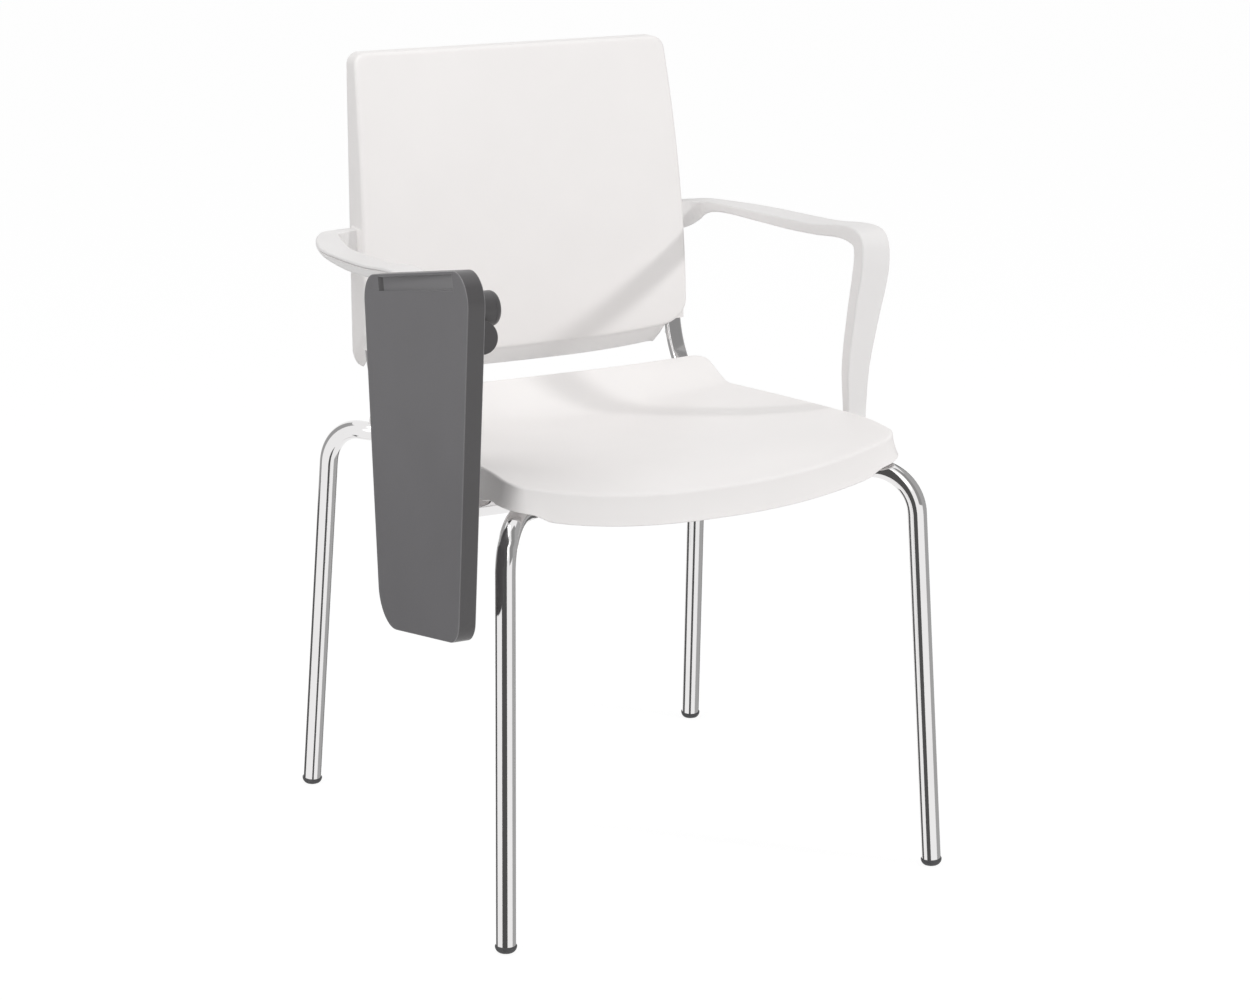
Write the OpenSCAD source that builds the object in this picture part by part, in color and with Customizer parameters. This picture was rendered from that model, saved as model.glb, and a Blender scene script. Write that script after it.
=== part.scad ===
// Student desk chair: two bent tube arches, a moulded seat and back on two rails,
// loop arms, and a writing tablet that swings up from beside the sitter's right arm.
// Millimetres, +Z up, the chair faces -Y, the sitter's left is +X.

/* [Leg arches] */
// outside diameter of the leg tube
leg_d = 20; // [16:0.5:25]
// wall of the leg tube
leg_wall = 2; // [1:0.1:3]
// half distance between the front feet
front_foot_x = 247; // [225:1:280]
// front feet ahead of the middle of the stance
front_foot_y = 263; // [235:1:300]
// half distance between the rear feet
rear_foot_x = 243; // [225:1:280]
// rear feet behind the middle of the stance
rear_foot_y = 263; // [240:1:300]
// sideways lean of the legs, mm in 1000 mm of height
leg_lean_x = 38; // [0:1:60]
// rearward lean of the front legs, mm in 1000 mm
front_lean_y = 61; // [30:1:90]
// forward lean of the rear legs, mm in 1000 mm
rear_lean_y = 108; // [80:1:140]
// height of the front arch at its upper bends
front_arch_z = 425.5; // [410:0.5:432]
// how far the front cross run lies below the upper bends
front_arch_dip = 4; // [0:0.5:10]
// height of the rear arch
rear_arch_z = 424; // [420:0.5:426]
// front cross run ahead of the middle
front_run_y = 179; // [165:1:195]
// rear cross run behind the middle
rear_run_y = 148; // [144:0.5:152]
// plan angle of the front shoulders
front_plan_angle = 46; // [42:0.5:50]
// plan angle of the rear shoulders
rear_plan_angle = 62; // [56:0.5:66]
// centreline radius of the leg bends
leg_bend_r = 47; // [38:1:54]
// centreline radius of the bends in plan
plan_bend_r = 60; // [40:1:65]

/* [Back rails] */
// half distance between the rails
rail_x = 182; // [172:0.5:183]
// width of the flat-oval rail
rail_w = 17; // [14:0.5:18]
// thickness of the flat-oval rail
rail_t = 9; // [8:0.5:10]
// wall of the rail
rail_wall = 1.5; // [1:0.1:2.5]
// height of the rail centre under the seat
rail_z = 424; // [420:0.5:426]
// where the rail starts to bend upwards
rail_bend_y = 101; // [99:0.5:104]
// centreline radius of the rail bend
rail_bend_r = 100; // [97:0.5:104]
// backward lean of the uprights
upright_lean = 10.5; // [8:0.5:12]
// height of the upright ends inside the back
upright_top_z = 600; // [560:1:602]

/* [Arm cross tube] */
// outside diameter of the cross tube
cross_d = 20; // [16:0.5:25]
// wall of the cross tube
cross_wall = 2; // [1:0.1:3]
// cross tube ahead of the middle
cross_y = 112; // [104:1:120]
// half length of the cross tube
cross_half = 215; // [208:0.5:218]

/* [Glide feet] */
// visible height of a glide foot
foot_h = 7; // [5:0.5:12]
// how much wider than the tube a foot is
foot_lip = 1; // [0:0.1:2]
// length of the stem in the tube
foot_stem = 18; // [10:1:30]

/* [Seat] */
// widest half width of the seat
seat_half = 220.5; // [208:0.5:222]
// half width lost at the rear edge
seat_taper = 19; // [10:1:26]
// front corners ahead of the middle
seat_front_y = 222; // [212:1:226]
// bow of the front edge
seat_bow = 10; // [4:1:16]
// rear edge behind the middle
seat_rear_y = 166; // [162:0.5:172]
// height of the dished centre line near the front
seat_centre_z = 440; // [436:0.5:446]
// fall of the centre line to the rear, mm in 1000 mm
seat_centre_fall = 30; // [0:1:45]
// height of the side edges near the front
seat_side_z = 465; // [458:0.5:472]
// fall of the side edges to the rear, mm in 1000 mm
seat_side_fall = 66; // [40:1:80]
// roll of the front edge
seat_roll = 10; // [6:0.5:14]
// rise of the rear edge at the centre
seat_kick = 35.5; // [28:0.5:38]
// rise of the rear edge at the sides
seat_kick_side = 26; // [20:0.5:28]
// thickness of the seat shell
seat_wall = 4.5; // [3.5:0.1:5.5]
// height of the turned-down rim
seat_rim = 30.5; // [22:0.5:31]
// outward flare of the rim
seat_flare = 6; // [2:0.5:8]
// wall of the rim
rim_wall = 3.5; // [2.5:0.1:4.5]
// rounding of the rim's upper edge
seat_round = 5; // [3:0.5:7]
// seat screw stations along the rails
seat_screw_y = [-60, 90];
// diameter of a seat boss
boss_d = 14; // [11:0.5:16]

/* [Back] */
// half width of the back at its lower edge
back_half = 196; // [194:0.5:200]
// half width lost at the top
back_taper = 11; // [4:0.5:14]
// lower edge of the front face
back_low_z = 494; // [488:1:500]
// top edge of the back
back_top_z = 820; // [780:1:850]
// rise of the lower edge at its corners
back_bow = 11; // [4:1:16]
// front face behind the middle, at the lumbar height
back_front_y = 189; // [187:0.5:190]
// how far the top lies behind the lumbar height
back_recline = 39; // [30:1:46]
// height where the face starts to recline
back_recline_z = 530; // [515:1:545]
// rear edge of the side walls, at the bottom
back_rear_y = 227; // [225:0.5:236]
// extra depth of the side walls' rear edge at the top
back_rear_gain = 24; // [16:1:30]
// lower wall: how far its rear edge drops
back_drop = 22; // [12:1:26]
// lower wall: its rear edge behind the middle
back_drop_y = 214; // [208:1:218]
// thickness of the front face
back_wall = 3.5; // [3:0.1:4]
// wall of the rim of the back
back_rim_wall = 3; // [2.5:0.1:3.5]
// rounding of the front edge
back_round = 4; // [2:0.5:6]
// wall of the sleeves on the uprights
sleeve_wall = 3; // [2:0.1:3]

/* [Arms] */
// outermost half width of the arms
arm_outer = 277; // [272:0.5:280]
// width of the arm band
arm_w = 33; // [29:0.5:34]
// thickness of the arm band
arm_t = 12; // [9:0.5:15]
// height of the band centre behind the elbow
arm_z = 631.5; // [626:0.5:637]
// rise of the band to the front corner
arm_rise = 9; // [4:0.5:12]
// front face of the arm uprights ahead of the middle
arm_front = 108; // [104:0.5:110]
// depth of the arm upright below its corner
arm_upright_t = 19; // [15:0.5:21]
// height of the arm root on the back
arm_root_z = 620.5; // [618:0.5:624]
// arm root behind the middle
arm_root_y = 215; // [212:0.5:217]
// height of the root plate
arm_root_h = 32; // [26:0.5:34]
// thickness of the root plate
arm_root_t = 14; // [12:0.5:16]
// diameter of the arm foot
arm_foot_d = 27; // [24:0.5:30]
// length of the arm foot
arm_foot_len = 17; // [14:0.5:20]
// gap between an arm and the seat's rim
arm_clear = 1.5; // [1:0.1:4]
// rounding of the arm's section, as a share of its thickness
arm_soft = 0.24; // [0.18:0.01:0.42]

/* [Tablet swing] */
// barrel axis ahead of the middle
swing_y = 143; // [140:0.5:150]
// barrel axis below the arm band
swing_drop = 15; // [11.5:0.5:19]
// diameter of the barrel
barrel_d = 35; // [31:0.5:36]
// outer end of the barrel, from the middle plane
barrel_out = 249; // [247:0.5:252]
// inner end of the barrel, from the middle plane
barrel_in = 201.5; // [199:0.5:204]
// length of the domed barrel cap
cap_len = 7; // [4:0.5:9]
// diameter of the axle
axle_d = 8; // [6:0.5:9]
// diameter of the nut pocket in the barrel
pocket_d = 22; // [20:0.5:24]
// depth of the nut pocket
pocket_len = 12; // [11:0.5:16]
// thickness of the washers
washer_t = 1; // [0.6:0.1:1.4]
// thickness of the bracket ear
ear_t = 12; // [8:0.5:14]
// diameter of the bracket ear
ear_d = 28; // [22:0.5:29]
// thickness of the bracket plate
plate_t = 6; // [4:0.5:8]
// width of the bracket plate
plate_w = 26; // [22:0.5:26]
// height of the bracket plate
plate_h = 50; // [48:0.5:52]

/* [Tablet fold] */
// tilt of the hung tablet
board_tilt = 10.7; // [8:0.1:12]
// distance from the barrel axis to the hinge axis
hinge_drop = 26.5; // [26:0.1:28]
// hinge centre, from the middle plane
hinge_x = 223; // [220:0.5:226]
// diameter of the hinge discs
disc_d = 33; // [28:0.5:33]
// thickness of a hinge disc
disc_t = 8.5; // [7:0.5:10]
// thickness of a hinge cap
hinge_cap_t = 1.5; // [1:0.1:2.5]
// length of the hinge eye
eye_len = 29; // [28:0.5:32]
// diameter of the hinge pin
pin_d = 9; // [6:0.5:10]
// thickness of the carrier leaf
leaf_t = 5; // [3:0.5:6]

/* [Tablet board] */
// writing face, from the middle plane
board_face = 322; // [320:0.5:330]
// thickness of the board
board_t = 17.5; // [14:0.5:19]
// length of the board
board_len = 343.5; // [320:0.5:350]
// board above the hinge axis
board_above = 70; // [62:0.5:74]
// width of the board at its upper edge
board_w = 250; // [220:1:260]
// width of the board at its lower edge
board_low_w = 190; // [170:1:200]
// upper edge behind the hinge centre
board_behind = 17.4; // [14:0.1:22]
// rear side's flare down the length
board_flare = 41; // [30:1:48]
// corner radius at the upper edge
board_r = 28; // [18:1:32]
// corner radius at the lower front
board_front_r = 25; // [15:1:32]
// corner radius at the lower rear
board_rear_r = 36; // [25:1:50]
// length of the pen groove
groove_len = 172; // [120:1:195]
// width of the pen groove
groove_w = 14; // [12:0.5:20]
// depth of the pen groove
groove_depth = 3; // [1:0.5:6]

/* [Fasteners and fits] */
// shank diameter of the small screws
screw_d = 5; // [4:0.1:5.5]
// head diameter of the small screws
head_d = 9; // [7.5:0.1:9.5]
// head height of the small screws
head_h = 3; // [2:0.1:3.5]
// shank diameter of the arm foot screws
foot_screw_d = 8; // [6:0.5:9]
// gap at welds and between resting faces
seat_gap = 0.05; // [0.02:0.01:0.08]
// radial clearance of pivots and screws
pivot_gap = 0.05; // [0.02:0.01:0.08]
// clearance of the sleeves on the uprights
sleeve_gap = 0.08; // [0.04:0.01:0.15]

/* [Hidden] */
$fn = 64;
white = "#EFEDEC";
steel = "#C9CBCE";
dark = "#535152";
slate = "#67666A";

// Small helpers

function unit(v) = v / norm(v);
function clamp01(t) = min(1, max(0, t));
function smooth(t) = clamp01(t) * clamp01(t) * (3 - 2 * clamp01(t));
function mix(a, b, t) = a + (b - a) * t;
function across(v, d) = unit(v - (v * d) * d);
function flat(rings) = [for (r = rings) for (p = r) p];
function mean(pts, i = 0) = i == len(pts) - 1 ? pts[i] / len(pts) : pts[i] / len(pts) + mean(pts, i + 1);

// carries the local axes x, y, z to the given directions at a place
module placed(ex, ey, ez, at) {
  multmatrix([
    [ex.x, ey.x, ez.x, at.x],
    [ex.y, ey.y, ez.y, at.y],
    [ex.z, ey.z, ez.z, at.z],
    [0, 0, 0, 1]]) children();
}

// a solid from rings of equal length, closed at both ends by a fan
module ring_solid(rings, flip = false) {
  n = len(rings[0]);
  m = len(rings);
  first = n * m;
  last = first + 1;
  pts = concat(flat(rings), [mean(rings[0]), mean(rings[m - 1])]);
  skin = [for (j = [0:m - 2]) for (i = [0:n - 1])
    let (k = (i + 1) % n, a = j * n + i, b = j * n + k, c = a + n, d = b + n)
    each [[a, b, d], [a, d, c]]];
  ends = [for (i = [0:n - 1])
    let (k = (i + 1) % n)
    each [[first, k, i], [last, (m - 1) * n + i, (m - 1) * n + k]]];
  tris = concat(skin, ends);
  polyhedron(pts, flip ? [for (t = tris) [t[0], t[2], t[1]]] : tris);
}

// A flat profile carried along a chain of steps [run, roll, bend radius, turn].
// Each step lies in the frame that the one before it ends in, +Z along the line.
// A straight run is a hair slimmer than the bends and enters them a little way.
function snap(v) = round(v * 1000) / 1000;
joint_lap = 0.4;
joint_slim = 0.1;
$slim = 0;

module run(len, before, after) {
  translate([0, 0, -before]) linear_extrude(len + before + after)
    let ($slim = joint_slim) children();
}

module chain(steps, i = 0, before = 0) {
  last = i == len(steps) - 1;
  r = steps[i][2];
  turn = steps[i][3];
  run(steps[i][0], before, last ? 0 : joint_lap) children();
  if (!last) translate([0, 0, steps[i][0]]) rotate([0, 0, steps[i][1]]) {
    placed([-1, 0, 0], [0, 0, 1], [0, 1, 0], [r, 0, 0])
      rotate_extrude(angle = turn) translate([r, 0]) children();
    translate([r, 0, 0]) rotate([0, turn, 0]) translate([-r, 0, 0])
      chain(steps, i + 1, joint_lap) children();
  }
}

module disc2d(d) {
  circle(d = d - 2 * $slim);
}

module ring2d(d, wall) {
  difference() {
    circle(d = d - 2 * $slim);
    circle(d = d - 2 * wall + 2 * $slim);
  }
}

module oval2d(thick, wide, slim) {
  t = thick - 2 * slim;
  gap = wide - thick;
  square([t, gap], center = true);
  for (s = [-1, 1]) translate([0, s * gap / 2]) circle(d = t);
}

// a cylinder along +X or +Y from a place
module along_x(at, len, d) {
  translate(at) rotate([0, 90, 0]) cylinder(h = len, d = d);
}

module along_y(at, len, d) {
  translate(at) rotate([-90, 0, 0]) cylinder(h = len, d = d);
}

module both_sides() {
  children();
  mirror([1, 0, 0]) children();
}

// Leg arches

function on_leg(foot, lean, z) = foot + [lean.x, lean.y, 1] * z;
front_foot = [front_foot_x, -front_foot_y, 0];
front_lean = [-leg_lean_x, front_lean_y] / 1000;
rear_foot = [rear_foot_x, rear_foot_y, 0];
rear_lean = [-leg_lean_x, -rear_lean_y] / 1000;

// One half of an arch, from its middle outwards: cross run, shoulder bend, leg bend
function arch_half(foot, lean, z, run_y, run_z, plan) =
  let (top = on_leg(foot, lean, z))
  [[0, run_y, run_z], [top.x - abs(run_y - top.y) / tan(plan), run_y, run_z], top,
    on_leg(foot, lean, foot_h)];
front_line = arch_half(front_foot, front_lean, front_arch_z, -front_run_y,
  front_arch_z - front_arch_dip, front_plan_angle);
rear_line = arch_half(rear_foot, rear_lean, rear_arch_z, rear_run_y, rear_arch_z, rear_plan_angle);

// the steps of the chain along four points
function arch_steps(p) =
  let (a = unit(p[1] - p[0]), b = unit(p[2] - p[1]), c = unit(p[3] - p[2]),
    turn1 = acos(a * b), turn2 = acos(b * c),
    reach1 = plan_bend_r * tan(turn1 / 2), reach2 = leg_bend_r * tan(turn2 / 2),
    x1 = across(b, a) * cos(turn1) - a * sin(turn1), n2 = across(c, b),
    roll = atan2(n2 * cross(b, x1), n2 * x1))
  [[snap(norm(p[1] - p[0]) - reach1), 0, plan_bend_r, snap(turn1)],
    [snap(norm(p[2] - p[1]) - reach1 - reach2), snap(roll), leg_bend_r, snap(turn2)],
    [snap(norm(p[3] - p[2]) - reach2), 0, 0, 0]];

module arch(p) {
  a = unit(p[1] - p[0]);
  n = across(unit(p[2] - p[1]), a);
  steps = arch_steps(p);
  half = steps[0][0];
  // one cross run, then the bends and legs of both sides
  placed(n, cross(a, n), a, [-half, p[0].y, p[0].z]) run(2 * half, joint_lap, joint_lap) children();
  both_sides() placed(n, cross(a, n), a, [half, p[0].y, p[0].z])
    bend_on(steps) children();
}

// the chain of an arch without its cross run
module bend_on(steps) {
  r = steps[0][2];
  placed([-1, 0, 0], [0, 0, 1], [0, 1, 0], [r, 0, 0])
    rotate_extrude(angle = steps[0][3]) translate([r, 0]) children();
  translate([r, 0, 0]) rotate([0, steps[0][3], 0]) translate([-r, 0, 0])
    chain(steps, 1, joint_lap) children();
}

module front_leg_arch() {
  color(steel) arch(front_line) ring2d(leg_d, leg_wall);
}

module rear_leg_arch() {
  color(steel) arch(rear_line) ring2d(leg_d, leg_wall);
}

// the space an arch takes, with the weld gap, for coping the rails
module arch_space(p) {
  arch(p) disc2d(leg_d + 2 * seat_gap);
}

// Back rails: coped on the front arch, resting on the rear arch

rail_start = -front_run_y - 10;
bend_turn = 90 - upright_lean;
bend_reach = rail_bend_r * tan(bend_turn / 2);
bend_corner_y = rail_bend_y + bend_reach;
function upright_y(z) = bend_corner_y + (z - rail_z) * tan(upright_lean);

// the space of a rail up to a height, grown all round, or hollow
module rail_path(x, top, grow, wall = 0) {
  rise = (top - rail_z) / cos(upright_lean) - bend_reach;
  placed([0, 0, 1], [1, 0, 0], [0, 1, 0], [x, rail_start, rail_z])
    chain([[rail_bend_y - rail_start, 0, rail_bend_r, bend_turn], [snap(rise), 0, 0, 0]])
      difference() {
        oval2d(rail_t + 2 * grow, rail_w + 2 * grow, $slim);
        if (wall > 0) oval2d(rail_t - 2 * wall, rail_w - 2 * wall, -$slim);
      }
}

module back_rail(x) {
  color(steel) difference() {
    rail_path(x, upright_top_z, 0, rail_wall);
    arch_space(front_line);
    arch_space(rear_line);
    for (y = seat_screw_y)
      translate([x, y, rail_z - rail_t]) cylinder(h = 2 * rail_t, d = screw_d + 2 * pivot_gap);
    translate([x, 0, 0]) lock_place() cylinder(h = sleeve_wall + rail_t / 2, d = screw_d + 2 * pivot_gap);
  }
}

module left_back_rail() {
  back_rail(rail_x);
}

module right_back_rail() {
  back_rail(-rail_x);
}

// where the lock screw of a sleeve enters the upright, +Z into the upright
lock_z = mix(back_low_z, upright_top_z, 0.5);
module lock_place() {
  translate([0, upright_y(lock_z), lock_z]) rotate([90 - upright_lean, 0, 0])
    translate([0, 0, -rail_t / 2 - sleeve_wall]) children();
}

// Arm cross tube under the rails, with threaded plugs in its ends

cross_z = rail_z - rail_t / 2 - cross_d / 2 - seat_gap;
plug_len = 24;

module arm_cross_tube() {
  color(steel) translate([-cross_half, -cross_y, cross_z]) rotate([0, 90, 0])
    linear_extrude(2 * cross_half) ring2d(cross_d, cross_wall);
}

module tube_end_plugs() {
  color(steel) both_sides() difference() {
    along_x([cross_half - plug_len, -cross_y, cross_z], plug_len, cross_d - 2 * cross_wall - 2 * seat_gap);
    along_x([cross_half - plug_len + 4, -cross_y, cross_z], plug_len, foot_screw_d + 2 * pivot_gap);
  }
}

// Glide feet: a domed cap below the tube, a stem in it, a flat face on the floor

module glide_foot(foot, lean) {
  d = unit([lean.x, lean.y, 1]);
  y = across([0, 1, 0], d);
  r = leg_d / 2 + foot_lip;
  tall = foot_h * norm([lean.x, lean.y, 1]);
  color(dark) difference() {
    placed(cross(y, d), y, d, foot) {
      translate([0, 0, tall - seat_gap]) mirror([0, 0, 1]) difference() {
        cylinder(h = tall + 1, r = r);
        rotate_extrude() difference() {
          translate([r - tall, 1]) square([tall + 1, tall + 2]);
          translate([r - tall, 1]) circle(r = tall);
        }
      }
      translate([0, 0, tall - 1]) cylinder(h = foot_stem, d = leg_d - 2 * leg_wall - 2 * seat_gap);
    }
    translate([foot.x, foot.y, -25]) cube([80, 80, 50], center = true);
  }
}

module foot_front_left() {
  glide_foot(front_foot, front_lean);
}

module foot_front_right() {
  mirror([1, 0, 0]) glide_foot(front_foot, front_lean);
}

module foot_rear_left() {
  glide_foot(rear_foot, rear_lean);
}

module foot_rear_right() {
  mirror([1, 0, 0]) glide_foot(rear_foot, rear_lean);
}

// Rounded outlines on a unit square, anticlockwise from the lower right corner

function arc_at(c, rx, ry, from, n) =
  [for (k = [0:n]) c + [rx * cos(from + 90 * k / n), ry * sin(from + 90 * k / n)]];
function between(p, q, n) = [for (k = [1:n - 1]) mix(p, q, k / n)];
function unit_outline(lo, hi, n_lo, n_side, n_hi, n_arc) =
  let (a = arc_at([1 - lo.x, lo.y - 1], lo.x, lo.y, -90, n_arc),
    b = arc_at([1 - hi.x, 1 - hi.y], hi.x, hi.y, 0, n_arc),
    c = [for (i = [n_arc:-1:0]) [-b[i].x, b[i].y]],
    d = [for (i = [n_arc:-1:0]) [-a[i].x, a[i].y]])
  concat(a, between(a[n_arc], b[0], n_side), b, between(b[n_arc], c[0], n_hi), c,
    between(c[n_arc], d[0], n_side), d, between(d[n_arc], a[0], n_lo));
// outward direction of a closed flat outline at a point
function outward(o, i) =
  let (n = len(o), t = o[(i + 1) % n] - o[(i + n - 1) % n])
  unit([t.y, -t.x]);

// Seat shell: a dished sheet with a rolled front, a raised rear edge and a rim

seat_mid = (seat_rear_y - seat_front_y) / 2;
seat_long = (seat_rear_y + seat_front_y) / 2;
seat_unit = unit_outline([0.08, 0.09], [0.09, 0.09], 12, 11, 10, 6);
seat_steps = [0.2, 0.4, 0.56, 0.69, 0.79, 0.87, 0.94];

// stations along the seat: widest, start of the front roll, of the rear rise, of its side lips
seat_wide_y = -0.766 * seat_front_y;
seat_roll_y = -0.63 * seat_front_y;
seat_kick_y = 0.524 * seat_rear_y;
seat_lip_y = 0.633 * seat_rear_y;
// where the driving heights of the centre line and the side edges are taken
seat_centre_y = -0.54 * seat_front_y;
seat_side_y = -0.712 * seat_front_y;

function seat_half_at(y) =
  seat_half - seat_taper * pow((y - seat_wide_y) / (seat_rear_y - seat_wide_y), 2);
function seat_xy(p) =
  let (y = seat_mid + seat_long * p.y - seat_bow * (1 - p.x * p.x) * pow(max(0, -p.y), 2))
  [p.x * seat_half_at(y), y];
function seat_sheet(x, y, kick = 1) =
  let (u = pow(min(1.05, abs(x) / seat_half_at(y)), 2.5),
    roll = pow(max(0, seat_roll_y - y) / (seat_front_y + seat_bow + seat_roll_y), 2) * seat_roll,
    lift = seat_kick * pow(max(0, y - seat_kick_y) / (seat_rear_y - seat_kick_y), 2),
    lip = seat_kick_side * smooth((y - seat_lip_y) / (seat_rear_y - seat_lip_y)),
    rise = mix(lift, lip, min(1, u)) * kick,
    centre = seat_centre_z - seat_centre_fall * (y - seat_centre_y) / 1000,
    side = seat_side_z - seat_side_fall * (y - seat_side_y) / 1000)
  mix(centre, side, u) - roll + rise;
function seat_ring(s, dz) =
  [for (p = seat_unit) let (q = seat_xy(p * s)) [q.x, q.y, seat_sheet(q.x, q.y) + dz]];
seat_edge = [for (p = seat_unit) seat_xy(p)];
// a ring set in from the edge, lowered by dz
function seat_edge_ring(inset, dz) =
  [for (i = [0:len(seat_edge) - 1])
    let (q = seat_edge[i] - inset * outward(seat_edge, i))
    [q.x, q.y, seat_sheet(q.x, q.y) + dz]];
// 0 along the front and sides, 1 along the rear edge, which has only a lip
function seat_rear(i) = smooth((seat_unit[i].y - 0.91) / 0.09);
rear_lip = 2.5;
// the rim's lower edge clears the rear arch where the tube leaves the seat
rim_lift = 24;
// and the front arch where its legs leave the front corners
corner_lift = 5;
function at_corner(i) = smooth((abs(seat_unit[i].x) - 0.8) / 0.1) * smooth((-seat_unit[i].y - 0.76) / 0.1);
function rim_low(i) =
  let (q = seat_edge[i], lift = smooth((q.y - 0.63 * seat_rear_y) / (0.25 * seat_rear_y)),
    z = seat_sheet(q.x, q.y, 0) - seat_rim + rim_lift * lift + corner_lift * at_corner(i))
  mix(z, seat_sheet(q.x, q.y) - seat_wall - rear_lip, seat_rear(i));
function rim_ring(inset) =
  [for (i = [0:len(seat_edge) - 1])
    let (q = seat_edge[i] + (seat_flare * (1 - seat_rear(i)) - inset) * outward(seat_edge, i))
    [q.x, q.y, rim_low(i)]];
seat_boss_top = [for (y = seat_screw_y) seat_sheet(rail_x, y) - seat_wall / 2];
boss_floor = rail_z + rail_t / 2 + seat_gap;

module seat_shell() {
  color(white) difference() {
    union() {
      ring_solid(concat(
        [for (s = seat_steps) seat_ring(s, 0)],
        [seat_edge_ring(seat_round, 0), seat_edge_ring(seat_round * 0.3, -seat_round * 0.3),
          seat_edge_ring(0, -seat_round)],
        [rim_ring(0), rim_ring(rim_wall), seat_edge_ring(seat_wall, -seat_wall)],
        [for (i = [len(seat_steps) - 1:-1:0]) seat_ring(seat_steps[i], -seat_wall)]));
      both_sides() for (k = [0:len(seat_screw_y) - 1])
        translate([rail_x, seat_screw_y[k], boss_floor])
          cylinder(h = seat_boss_top[k] - boss_floor, d = boss_d);
    }
    both_sides() for (k = [0:len(seat_screw_y) - 1])
      translate([rail_x, seat_screw_y[k], boss_floor - 1])
        cylinder(h = boss_bore(k) + 1, d = screw_d + 2 * pivot_gap);
  }
}

// depth of a seat boss bore, which stays below the sheet
function boss_bore(k) = seat_boss_top[k] - boss_floor - 1;

module seat_screws() {
  under = rail_z - rail_t / 2 - seat_gap;
  color(steel) both_sides() for (k = [0:len(seat_screw_y) - 1])
    translate([rail_x, seat_screw_y[k], 0]) {
      translate([0, 0, under - head_h]) cylinder(h = head_h, d = head_d);
      translate([0, 0, under - 1]) cylinder(h = boss_floor - under + boss_bore(k), d = screw_d);
    }
}

// Back shell: a reclining face with a rim, sleeves on the uprights, pads for the arms

back_mid = (back_top_z + back_low_z) / 2;
back_tall = (back_top_z - back_low_z) / 2;
back_unit = unit_outline([0.14, 0.16], [0.07, 0.08], 10, 12, 6, 5);
back_steps = [0.2, 0.4, 0.6, 0.76, 0.89];

function back_half_at(z) =
  let (q = (z - back_low_z) / (back_top_z - back_low_z))
  back_half - back_taper * (0.3 * q + 0.7 * q * q);
function back_xz(p) =
  let (z = back_mid + back_tall * p.y + back_bow * pow(abs(p.x), 3) * pow(max(0, -p.y), 2))
  [p.x * back_half_at(z), z];
function back_face(z) =
  back_front_y + back_recline * pow(max(0, z - back_recline_z) / (back_top_z - 5 - back_recline_z), 1.85);
// rear edge of the side walls
function back_rim_y(z) =
  let (q = (z - back_low_z) / (back_top_z - back_low_z))
  back_rear_y + back_rear_gain * (0.3 * q + 0.7 * q * q);
back_edge = [for (p = back_unit) back_xz(p)];
// 1 along the lower edge, 0 along the sides and the top
function back_low(i) = smooth((-back_unit[i].y - 0.93) / 0.07);
// the drop of the lower wall, a little deeper at its corners
function back_fall(i) = back_drop * smooth((-back_unit[i].y - 0.74) / 0.16)
  * (1 + 0.5 * smooth((abs(back_unit[i].x) - 0.8) / 0.15));
function back_ring(s, dy) =
  [for (p = back_unit) let (q = back_xz(p * s)) [q.x, back_face(q.y) + dy, q.y]];
function back_edge_ring(inset, dy) =
  [for (i = [0:len(back_edge) - 1])
    let (q = back_edge[i] - inset * outward(back_edge, i))
    [q.x, back_face(q.y) + dy, q.y]];
function back_rim_ring(inset) =
  [for (i = [0:len(back_edge) - 1])
    let (q = back_edge[i] - inset * outward(back_edge, i), low = back_low(i))
    [q.x, mix(back_rim_y(q.y), back_drop_y, low), q.y - back_fall(i)]];

// arm pads on the side walls
pad_x = back_half_at(arm_root_z) + 1.5;
pad_y = 26;
pad_z = arm_root_h + 2;
root_screw_dz = 9;
// sleeves: a block on the inside of the face, bored for the upright
sleeve_low_z = back_low_z + back_bow + 2;
sleeve_top_z = upright_top_z + sleeve_wall;
sleeve_in = rail_x - rail_w / 2 - sleeve_wall;
sleeve_out = back_half_at(sleeve_top_z) - 1;
sleeve_back = rail_t / 2 / cos(upright_lean) + sleeve_wall;

module sleeve() {
  front = back_front_y + back_wall * 0.8;
  translate([sleeve_in, 0, 0]) rotate([90, 0, 90]) linear_extrude(sleeve_out - sleeve_in)
    polygon([[front, sleeve_low_z], [upright_y(sleeve_low_z) + sleeve_back, sleeve_low_z],
      [upright_y(sleeve_top_z) + sleeve_back, sleeve_top_z],
      [back_face(sleeve_top_z) + back_wall * 0.5, sleeve_top_z]]);
}

module back_shell() {
  color(white) difference() {
    union() {
      difference() {
        ring_solid(concat(
          [for (s = back_steps) back_ring(s, 0)],
          [back_edge_ring(back_round, 0), back_edge_ring(back_round * 0.3, back_round * 0.3),
            back_edge_ring(0, back_round)],
          [back_rim_ring(0), back_rim_ring(back_rim_wall),
            back_edge_ring(back_rim_wall, back_wall)],
          [for (i = [len(back_steps) - 1:-1:0]) back_ring(back_steps[i], back_wall)]));
        // the lower wall is cut away around each upright
        both_sides()
          translate([sleeve_in - 2, back_front_y + back_wall + 2, back_low_z - back_drop - 20])
            cube([back_half - sleeve_in - 3, 60, sleeve_low_z - back_low_z + back_drop + 20.5]);
      }
      both_sides() {
        sleeve();
        translate([pad_x - 7, arm_root_y - pad_y / 2, arm_root_z - pad_z / 2])
          cube([7, pad_y, pad_z]);
      }
    }
    both_sides() {
      rail_path(rail_x, upright_top_z + seat_gap, sleeve_gap);
      translate([rail_x, 0, 0]) lock_place() translate([0, 0, -20])
        cylinder(h = 20 + rail_t / 2, d = screw_d + 2 * pivot_gap);
      for (s = [-1, 1])
        along_x([pad_x - 20, arm_root_y, arm_root_z + s * root_screw_dz], 40, screw_d + 2 * pivot_gap);
    }
  }
}

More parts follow.
